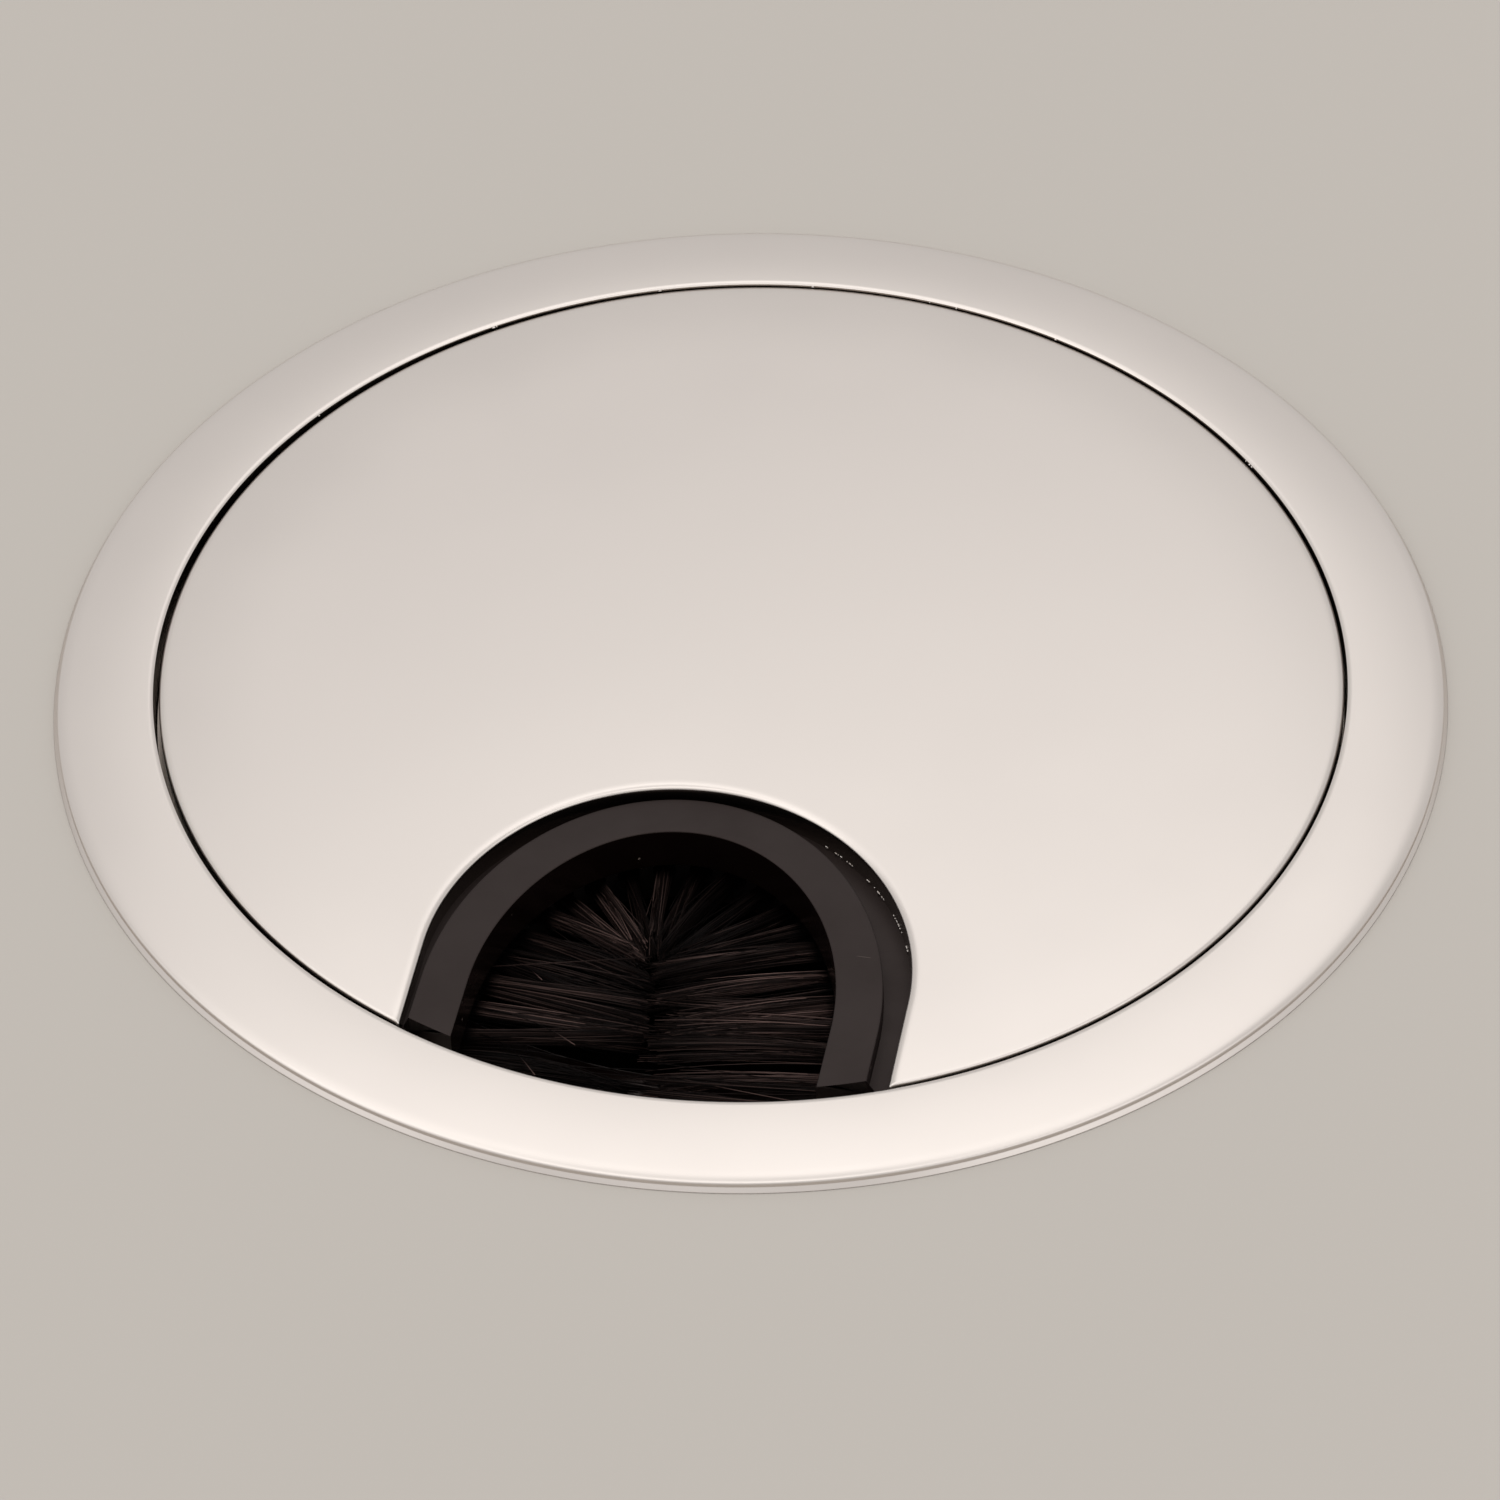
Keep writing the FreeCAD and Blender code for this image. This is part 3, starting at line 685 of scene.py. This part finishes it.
def carrier_outline():
    """The carrier's section as (distance out from the mouth, height), with its moulded edges rounded."""
    return rounded([
        (0.0, GROOVE_TOP_Z, 0.12),
        (0.0, RIB_TOP_Z, 0.12),
        (RIB_WIDTH, RIB_TOP_Z, 0.12),
        (RIB_WIDTH, CARRIER_TOP_Z, 0.1),
        (CARRIER_TOP_WIDTH, CARRIER_TOP_Z, 0.1),
        (CARRIER_TOP_WIDTH, GROOVE_TOP_Z, 0.1),
        (GROOVE_OUTER, GROOVE_TOP_Z, 0.1),
        (GROOVE_OUTER, LIP_BOTTOM_Z, 0.2),
        (LIP_SET_BACK, LIP_BOTTOM_Z, 0.1),
        (LIP_SET_BACK, GROOVE_FLOOR_Z, 0.1),
        (GROOVE_DEPTH, GROOVE_FLOOR_Z, 0.1),
        (GROOVE_DEPTH, GROOVE_TOP_Z, 0.1),
    ])


def split_long(outline, longest):
    """The outline with points added along its long runs."""
    step = np.roll(outline, -1, axis=0) - outline
    count = np.maximum(np.ceil(np.linalg.norm(step, axis=1) / longest), 1).astype(int)
    index = np.repeat(np.arange(len(outline)), count)
    first = np.concatenate([[0], np.cumsum(count)[:-1]])
    share = (np.arange(len(index)) - first[index]) / count[index]
    return outline[index] + step[index] * share[:, None]


def end_fans(points):
    """Quads that close both ends of a swept shell: strips between the two halves of its section."""
    rows, columns = points.shape[:2]
    half = rows // 2
    a = np.arange(half - 1)
    b = a + 1
    found = []
    for column in (0, columns - 1):
        first = a * columns + column
        second = b * columns + column
        third = (rows - 1 - b) * columns + column
        fourth = (rows - 1 - a) * columns + column
        found.append(np.stack([first, second, third, fourth], -1))
    return np.concatenate(found)


def carrier_shell():
    """The section carried along the U. Its legs run to the toe's radius where the rib and toe are, and
    to the body's smaller radius elsewhere. The mouth's upright wall takes the second material, a smoother and
    darker copy of the plastic whose darker colour is painted shade in the recess."""
    outline = split_long(carrier_outline(), SECTION_STEP)
    out, height = outline[:, 0], outline[:, 1]
    toe = (height > TOE_BOTTOM_Z) & (out < TOE_WIDTH)
    end_r = np.where(toe, TOE_END_R, CARRIER_BODY_R)
    half_width = MOUTH_HALF_WIDTH + out
    length = MOUTH_ARCH_LENGTH + out
    left_end = -np.sqrt(end_r ** 2 - (half_width - SHIFT_X) ** 2)
    right_end = -np.sqrt(end_r ** 2 - (half_width + SHIFT_X) ** 2)
    x, y_right = u_line(half_width, length, MOUTH_CENTRE_Y, right_end, CARRIER_COLUMNS)
    _, y_left = u_line(half_width, length, MOUTH_CENTRE_Y, left_end, CARRIER_COLUMNS)
    y = np.where(x < 0, y_left, y_right)
    points = np.stack([x + SHIFT_X, y, np.broadcast_to(height[:, None], x.shape)], -1)
    upright = np.maximum(out, np.roll(out, -1)) < WALL_REACH
    ends = end_fans(points)
    faces = np.concatenate([quads(*x.shape, close_rows=True), ends])
    number = np.repeat(np.where(upright, 1, 0), CARRIER_COLUMNS - 1)
    return points, faces, np.concatenate([number, np.zeros(len(ends), dtype=int)])


def bridge_shell():
    """The low bar between the legs' ends: a plate between two arcs about the barrel's axis. It takes the
    second material, whose darker colour is painted shade under the bristles."""
    half = MOUTH_HALF_WIDTH + LIP_SET_BACK
    across = np.linspace(-half, half, BRIDGE_COLUMNS) + SHIFT_X
    near = -np.sqrt(CARRIER_BODY_R ** 2 - across ** 2)
    far = -np.sqrt(BRIDGE_INNER_R ** 2 - across ** 2)
    outline = rounded([(0, LIP_BOTTOM_Z, 0.1), (1, LIP_BOTTOM_Z, 0.1),
                       (1, GROOVE_FLOOR_Z, 0.1), (0, GROOVE_FLOOR_Z, 0.1)])
    y = near + (far - near) * outline[:, :1]
    points = np.stack([np.broadcast_to(across, y.shape), y, np.broadcast_to(outline[:, 1:], y.shape)], -1)
    return points, np.concatenate([quads(*y.shape, close_rows=True), end_fans(points)]), 1


def tuft_mouths():
    """Points evenly spaced along the U that the tufts come out of."""
    half_width = MOUTH_HALF_WIDTH + TUFT_SET_BACK
    length = MOUTH_ARCH_LENGTH + TUFT_SET_BACK
    x, y = u_line(half_width, length, MOUTH_CENTRE_Y, TUFT_LAST_Y, TUFT_LINE_POINTS)
    x, y = x[0], y[0]
    run = np.concatenate([[0], np.cumsum(np.hypot(np.diff(x), np.diff(y)))])
    at = np.linspace(0, run[-1], TUFT_COUNT)
    return np.stack([np.interp(at, run, x), np.interp(at, run, y), np.full(TUFT_COUNT, TUFT_Z)], -1)


def tuft_tips(mouths):
    """Tips lie on a small circle round the focus. Tufts whose leaning line would end in front of it meet
    at the seam instead: the right ones lean forward a little less towards the front, the left ones much
    less, and the two at the front left lean back."""
    away = mouths - FOCUS
    away /= np.linalg.norm(away, axis=1)[:, None]
    around = FOCUS + away * FOCUS_CLEARANCE
    left_lean = LEFT_LEAN + LEFT_LEAN_LOSS * (mouths[:, 1] - LEFT_LEAN_START_Y)
    left_lean = np.clip(left_lean, LEAST_LEAN, LEFT_LEAN)
    left_lean[:len(FRONT_LEFT_LEANS)] = FRONT_LEFT_LEANS
    right_lean = RIGHT_LEAN + RIGHT_LEAN_LOSS * (mouths[:, 1] - RIGHT_LEAN_START_Y)
    lean = np.where(mouths[:, 0] < 0, left_lean, right_lean)
    y = mouths[:, 1] - lean
    share = (FOCUS[1] - y) / (FOCUS[1] - TUFT_LAST_Y)
    x = FOCUS[0] + (SEAM_FRONT_X - FOCUS[0]) * share + np.copysign(SEAM_CLEARANCE, mouths[:, 0])
    along = np.stack([x, y, np.full(len(y), TUFT_Z)], -1)
    tips = np.where(y[:, None] > FOCUS[1], around, along)
    tips[[0, -1], 2] -= END_TUFT_DROP
    return tips


def tuft_axes(mouth, tip):
    """A tuft's direction, and the level direction across it."""
    axis = (tip - mouth) / np.linalg.norm(tip - mouth)
    return axis, np.cross(UP, axis)


def tuft_room(i, mouths, tips):
    """Half the distance, across a tuft, from its tip to that of its nearer neighbour."""
    _, side = tuft_axes(mouths[i], tips[i])
    nearby = [j for j in (i - 1, i + 1) if 0 <= j < TUFT_COUNT]
    return min(abs((tips[i] - tips[j]) @ side) for j in nearby) / 2


def strands(root, tip, bow, tone):
    """Tapered tubes: each centre line is a straight run from root to tip bent by a parabola, and each
    ring is a small square about it. Each point keeps its strand's tone and how many millimetres it lies
    out of the hole."""
    s = np.linspace(0, 1, STRAND_RINGS)[None, :, None]
    centre = root[:, None] * (1 - s) + tip[:, None] * s + bow[:, None] * 4 * s * (1 - s)
    axis = tip - root
    length = np.linalg.norm(axis, axis=1)[:, None]
    axis /= length
    side = np.cross(UP, axis)
    side /= np.linalg.norm(side, axis=1)[:, None]
    lift = np.cross(axis, side)
    angle = np.linspace(0, 2 * np.pi, STRAND_SIDES, endpoint=False)[None, :, None]
    wheel = side[:, None] * np.cos(angle) + lift[:, None] * np.sin(angle)
    radius = STRAND_ROOT_R * (1 - s) + STRAND_TIP_R * s
    points = centre[:, :, None] + wheel[:, None] * radius[..., None]
    one = quads(STRAND_RINGS, STRAND_SIDES, close_columns=True)
    first = np.arange(STRAND_SIDES)
    one = np.concatenate([one, [first[::-1], first + (STRAND_RINGS - 1) * STRAND_SIDES]])
    size = STRAND_RINGS * STRAND_SIDES
    faces = (one[None] + np.arange(len(root))[:, None, None] * size).reshape(-1, 4)
    tones = np.repeat(tone, size)
    out = np.repeat(s[0, :, 0] * length - TUFT_DEPTH, STRAND_SIDES, axis=1)
    return points.reshape(-1, 3), faces, tones, out.ravel()


def tuft(mouth, tip, room, pale_share, rng):
    """One tuft. Its strands stand close together in their hole on a sunflower's spiral. Out of it they
    part into locks, each strand to the lock whose seed is nearest in the hole, and each lock narrows to a
    point of its own about the tuft's tip. A few strays leave their lock."""
    axis, side = tuft_axes(mouth, tip)
    loose = min(1, LEAST_LOOSENESS + room)
    n = np.arange(STRANDS)
    r = TUFT_R * np.sqrt((n + 0.5) / STRANDS)
    across, above = r * np.cos(n * GOLDEN_ANGLE), r * np.sin(n * GOLDEN_ANGLE)
    seeds = rng.uniform(-TUFT_R, TUFT_R, (LOCKS, 2))
    lock = np.hypot(across[:, None] - seeds[:, 0], above[:, None] - seeds[:, 1]).argmin(1)
    spread = min(LOCK_SPREAD, LOCK_LEAST_SPREAD + LOCK_SPREAD_BY_ROOM * room)
    lock_across = rng.uniform(-spread, spread, LOCKS)
    lock_above = rng.normal(0, LOCK_LIFT, LOCKS)
    lock_short = rng.uniform(-LOCK_PAST - LOCK_PAST_BY_ROOM * min(1, room), LOCK_SHORT, LOCKS)
    lock_bow = rng.normal(0, LOCK_BOW * loose, LOCKS)
    lock_rise = rng.uniform(*LOCK_RISE, LOCKS)
    lock_tone = rng.uniform(*LOCK_TONE, LOCKS)
    wander = np.where(rng.uniform(0, 1, STRANDS) < STRAY_SHARE, STRAY_WANDER, 1.0)
    own_across = rng.normal(0, STRAND_WANDER, STRANDS) * loose * wander
    own_across += (across - seeds[lock, 0]) * LOCK_WIDTH * loose
    own_above = rng.normal(0, STRAND_WANDER, STRANDS) * wander
    own_above += (above - seeds[lock, 1]) * LOCK_WIDTH
    short = lock_short[lock] + rng.exponential(STRAND_SHORT, STRANDS)
    root = mouth - axis * TUFT_DEPTH + side * across[:, None] + UP * above[:, None]
    end = tip - axis * short[:, None]
    end += side * (lock_across[lock] + own_across)[:, None] + UP * (lock_above[lock] + own_above)[:, None]
    bow = side * (lock_bow[lock] + rng.normal(0, STRAND_BOW, STRANDS))[:, None]
    bow += UP * (lock_rise[lock] + rng.normal(0, STRAND_BOW, STRANDS))[:, None]
    own_tone = rng.uniform(0, 1, STRANDS) ** STRAND_TONE_POWER
    own_tone = STRAND_LEAST_TONE + (1 - STRAND_LEAST_TONE) * own_tone
    # Each strand's tone is its share of painted sheen: the tuft's painted highlight, times random shares for
    # its lock and for itself.
    return strands(root + SHIFT, end + SHIFT, bow, pale_share * lock_tone[lock] * own_tone)


def stray_hair(mouth, end, back, up):
    """One strand that leaves its tuft, bent by a parabola, with a full pale painted sheen, a painted
    highlight, only near its end.
    """
    bow = np.array([[0, back, up]])
    points, faces, tones, _ = strands((mouth + SHIFT)[None], np.array([end]), bow, np.ones(1))
    out = HAIR_RUN * np.repeat(np.linspace(0, 1, STRAND_RINGS), STRAND_SIDES) - HAIR_LAG
    return points, faces, tones, out


def tuft_piece(name, shells, material, node):
    """A tuft's strands as one object, smooth all round, with its two attributes for the material."""
    starts = np.concatenate([[0], np.cumsum([len(shell[0]) for shell in shells])])
    faces = np.concatenate([shell[1] + start for shell, start in zip(shells, starts)])
    points, tones, out = (np.concatenate([shell[part] for shell in shells]) for part in (0, 2, 3))
    mesh = new_mesh(name, points * MM, faces, np.zeros(len(faces)), [material])
    for title, values in (("tone", tones), ("out", out)):
        layer = mesh.attributes.new(title, "FLOAT", "POINT")
        layer.data.foreach_set("value", values.astype(np.float32))
    smooth(mesh)
    mesh.update()
    placed(name, mesh, [node])


def floor_paint(name, hex_code, leak=0.0, leak_from_y=-1.0):
    """Matt paint. From below it lets the eye through, so that the underside can be looked at. To light
    that side, it lets in a share of the light from below, where Y in metres is over a given value."""
    material, tree = new_material(name)
    parts = add(tree, "ShaderNodeSeparateXYZ", {}, {}, {"Vector": own_place(tree)})
    seen = add(tree, "ShaderNodeLightPath").outputs["Is Camera Ray"]
    from_below = add(tree, "ShaderNodeNewGeometry").outputs["Backfacing"]
    behind = reckoned(tree, "GREATER_THAN", parts.outputs["Y"], leak_from_y)
    unseen = reckoned(tree, "SUBTRACT", 1.0, seen)
    there = reckoned(tree, "MULTIPLY", unseen, behind)
    open_share = reckoned(tree, "MULTIPLY_ADD", there, leak, from_below, clamp=True)
    paint = add(tree, "ShaderNodeBsdfDiffuse", {}, {"Color": colour(hex_code)})
    clear = add(tree, "ShaderNodeBsdfTransparent")
    mix = add(tree, "ShaderNodeMixShader", {}, {}, {"Fac": open_share})
    tree.links.new(paint.outputs["BSDF"], mix.inputs[1])
    tree.links.new(clear.outputs["BSDF"], mix.inputs[2])
    add(tree, "ShaderNodeOutputMaterial", {}, {}, {"Surface": mix.outputs["Shader"]})
    return material


def floor_board(paint, hidden_paint, dark):
    """A pale board that the flange stands on, open where the barrel goes through, with a paint of its own
    under the flange, and a dark disc of painted shade that closes the bore's far end."""
    angle = np.linspace(0, 2 * np.pi, FLOOR_COLUMNS, endpoint=False)
    x = FLOOR_RADII[:, None] * np.cos(angle)
    y = FLOOR_RADII[:, None] * np.sin(angle)
    board = np.stack([x, y, np.full_like(x, FLOOR_Z)], -1) * MM
    disc_z = np.full(FLOOR_COLUMNS, BARREL_BOTTOM_Z - DISC_GAP)
    disc = np.stack([BORE_R * np.cos(angle), BORE_R * np.sin(angle), disc_z], -1) * MM
    outer_faces = quads(len(FLOOR_RADII) - 1, FLOOR_COLUMNS, close_columns=True).tolist()
    inner_faces = quads(2, FLOOR_COLUMNS, close_columns=True).tolist()
    for name, points, faces, material in (
        ("floor", board[1:].reshape(-1, 3), outer_faces, paint),
        ("floor_under_flange", board[:2].reshape(-1, 3), inner_faces, hidden_paint),
        ("floor_under_barrel", disc, [list(range(FLOOR_COLUMNS))], dark),
    ):
        mesh = bpy.data.meshes.new(name)
        mesh.from_pydata(points.tolist(), [], faces)
        mesh.materials.append(material)
        mesh.update()
        if mesh.polygons[0].normal.z < 0:
            mesh.flip_normals()
        made = bpy.data.objects.new(name, mesh)
        bpy.context.scene.collection.objects.link(made)


def studio():
    """A white room lit by a wide soft box overhead. In directions with a unit vector (X, Y, Z) the box is
    where Z - 0.16 X - 1.42 X squared is above two thirds, with X squared taken as 0.14 at most, and the
    walls are about half as bright. The box is brightest in a ring about its middle, which is dimmer, and a
    smaller box stands on either side, in front of the part."""
    world = bpy.data.worlds.new("studio")
    world.use_nodes = True
    tree = world.node_tree
    tree.nodes.clear()
    place = add(tree, "ShaderNodeTexCoord").outputs["Generated"]
    parts = add(tree, "ShaderNodeSeparateXYZ", {}, {}, {"Vector": place})
    across, depth, height = (parts.outputs[axis] for axis in "XYZ")
    square = reckoned(tree, "MULTIPLY", across, across)
    held = reckoned(tree, "MINIMUM", square, BOX_CURVE_LIMIT)
    lean = reckoned(tree, "MULTIPLY_ADD", across, BOX_LEAN, height)
    edge = reckoned(tree, "MULTIPLY_ADD", held, BOX_CURVE, lean)
    box = stepped(tree, edge, BOX_EDGE, WALL_LIGHT, BOX_LIGHT)
    ring = stepped(tree, height, RING_EDGE, 0.0, RING_LIGHT)
    middle = stepped(tree, height, MIDDLE_EDGE, 0.0, MIDDLE_LIGHT)
    aside = stepped(tree, square, SIDE_INNER_EDGE, 0.0, SIDE_LIGHT)
    raised = stepped(tree, height, SIDE_LOWER_EDGE)
    nearer = stepped(tree, depth, SIDE_BACK_EDGE)
    window = reckoned(tree, "MULTIPLY", raised, nearer)
    overhead = reckoned(tree, "ADD", reckoned(tree, "ADD", box, ring), middle)
    total = reckoned(tree, "MULTIPLY_ADD", aside, window, overhead)
    light = add(tree, "ShaderNodeBackground", {}, {"Color": colour("#fffdfb")}, {"Strength": total})
    add(tree, "ShaderNodeOutputWorld", {}, {}, {"Surface": light.outputs["Background"]})
    bpy.context.scene.world = world


def camera():
    """The photograph's viewpoint: on a sphere about the origin, rolled, and dipped so that the disc
    stands above the picture's middle."""
    a, e = math.radians(CAMERA_AZIMUTH), math.radians(CAMERA_ELEVATION)
    back = np.array([math.sin(a) * math.cos(e), -math.cos(a) * math.cos(e), math.sin(e)])
    level = np.array([math.cos(a), math.sin(a), 0.0])
    rise = np.cross(back, level)
    roll = math.radians(CAMERA_ROLL)
    right = math.cos(roll) * level + math.sin(roll) * rise
    up = math.cos(roll) * rise - math.sin(roll) * level
    dip = math.radians(CAMERA_DIP)
    tilted_back = math.cos(dip) * back + math.sin(dip) * up
    tilted_up = math.cos(dip) * up - math.sin(dip) * back
    data = bpy.data.cameras.new("camera")
    data.lens = CAMERA_LENS
    data.sensor_width = CAMERA_SENSOR
    data.clip_start = 0.01
    data.clip_end = 10
    made = bpy.data.objects.new("camera", data)
    matrix = np.eye(4)
    matrix[:3, 0], matrix[:3, 1], matrix[:3, 2] = right, tilted_up, tilted_back
    matrix[:3, 3] = back * CAMERA_DISTANCE * MM
    made.matrix_world = Matrix(matrix.tolist())
    bpy.context.scene.collection.objects.link(made)
    bpy.context.scene.camera = made


def stage():
    """Camera, light and what the grommet stands on."""
    bpy.context.scene.view_settings.view_transform = "Standard"
    camera()
    studio()
    floor_board(
        floor_paint("matt_floor_paint", "#bdb8b2"),
        floor_paint("paint_under_the_flange", "#bdb8b2", FLANGE_LEAK),
        # The disc's dark paint is painted shade down the bore.
        floor_paint("painted_shade_under_the_board", "#0c0a09", DISC_LEAK, DISC_LEAK_FROM_Y),
    )


def desk_ring(materials):
    """The ring's skin. The bore takes the second material, a darker nickel whose colour is painted shade in
    the narrow gap, above the rounding at its lower end.
    """
    section = ring_outline()
    points, faces = turned(section, RING_COLUMNS)
    in_bore = (section[:, 0] < BORE_R + BORE_SLACK) & (section[:, 1] > BARREL_BOTTOM_Z + BORE_SHADE_START)
    in_bore = in_bore & np.roll(in_bore, -1)
    shells = [(points, faces, np.repeat(np.where(in_bore, 1, 0), RING_COLUMNS))]
    rng = np.random.default_rng(RING_SEED)
    shells += burrs(rng, BORE_BURR_TURNS, BORE_BURR_COUNT, BORE_BURR_R, BORE_BURR_R, 0.0, BORE_BURR_LEVEL)
    piece("desk_ring_skin", shells, materials, ["desk_ring"])


def lid(materials):
    """The lid's skin with the bosses under it and the burrs on its two edges."""
    shells = [lid_shell()]
    shells += ear_tubes(PILOT_R, BOSS_R, BOSS_BOTTOM_Z, LID_UNDERSIDE_Z + BOSS_SINK)
    rng = np.random.default_rng(LID_SEED)
    shells += burrs(rng, CUT_BURR_TURNS, CUT_BURR_COUNT, CUT_HALF_WIDTH, CUT_ARCH_LENGTH, CUT_CENTRE_Y,
                    CUT_BURR_LEVEL)
    shells += burrs(rng, RIM_BURR_TURNS, RIM_BURR_COUNT, RIM_BURR_R, RIM_BURR_R, 0.0, RIM_BURR_LEVEL, 1)
    piece("lid_skin", shells, materials, ["lid"])


def carrier(materials):
    """The carrier's skin: the U, the bridge between its ends, the ears and the rub mark."""
    shells = [carrier_shell(), bridge_shell()]
    shells += ear_tubes(EAR_HOLE_R, EAR_R, GROOVE_TOP_Z + EAR_INSET, CARRIER_TOP_Z - EAR_INSET)
    shells.append(rubbed_mark())
    piece("carrier_skin", shells, materials, ["brush_carrier"])


def brush(nylon):
    """The tufts, each with the stray hairs that leave it."""
    rng = np.random.default_rng(BRUSH_SEED)
    mouths = tuft_mouths()
    tips = tuft_tips(mouths)
    for i in range(TUFT_COUNT):
        # Each tuft gets its own share of painted sheen: painted highlight on lit tufts, painted shade on the
        # others.
        shells = [tuft(mouths[i], tips[i], tuft_room(i, mouths, tips), TUFT_PAINTED_SHEEN[i], rng)]
        shells += [stray_hair(mouths[i], *hair[1:]) for hair in STRAY_HAIRS if hair[0] == i]
        tuft_piece("tuft_strands_%02d" % (i + 1), shells, nylon, "bristle_tuft_%02d" % (i + 1))


def dress(node, material):
    """A CAD node that stays gets its finish in every material slot."""
    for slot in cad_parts[node].material_slots:
        slot.material = material


stage()
metals = [satin_nickel("satin_nickel_plate", "#d9d2cd", 0.30),
          # The second nickel is smoother, and its darker colour is painted shade in the gaps and under the
          # lid.
          satin_nickel("machined_nickel_painted_shade", "#8d857e", 0.22)]
desk_ring(metals)
lid(metals)
carrier([moulded_black("black_moulded_abs", "#0f0808", 0.5, 0.43),
         # The second plastic is smoother, and its darker colour is painted shade in the recess under the rib.
         moulded_black("polished_abs_painted_shade", "#090403", 0.24, 0.35),
         moulded_black("rubbed_abs", "#3a3330", 0.5, 0.5)])
# The pale colour of the strands is painted sheen.
brush(nylon_strand("black_nylon_filament", "#030101", "#a3857e", 0.4, 0.06))
dress("brush_block", moulded_black("black_polypropylene", "#0a0707", 0.6, 0.2))
dress("tuft_anchors", small_fixing("drawn_brass_wire", "#c9a35a", 0.3))
zinc = small_fixing("zinc_plated_steel", "#c9ccd0", 0.35)
for screw in range(1, 5):
    dress("clamp_screw_%d" % screw, zinc)
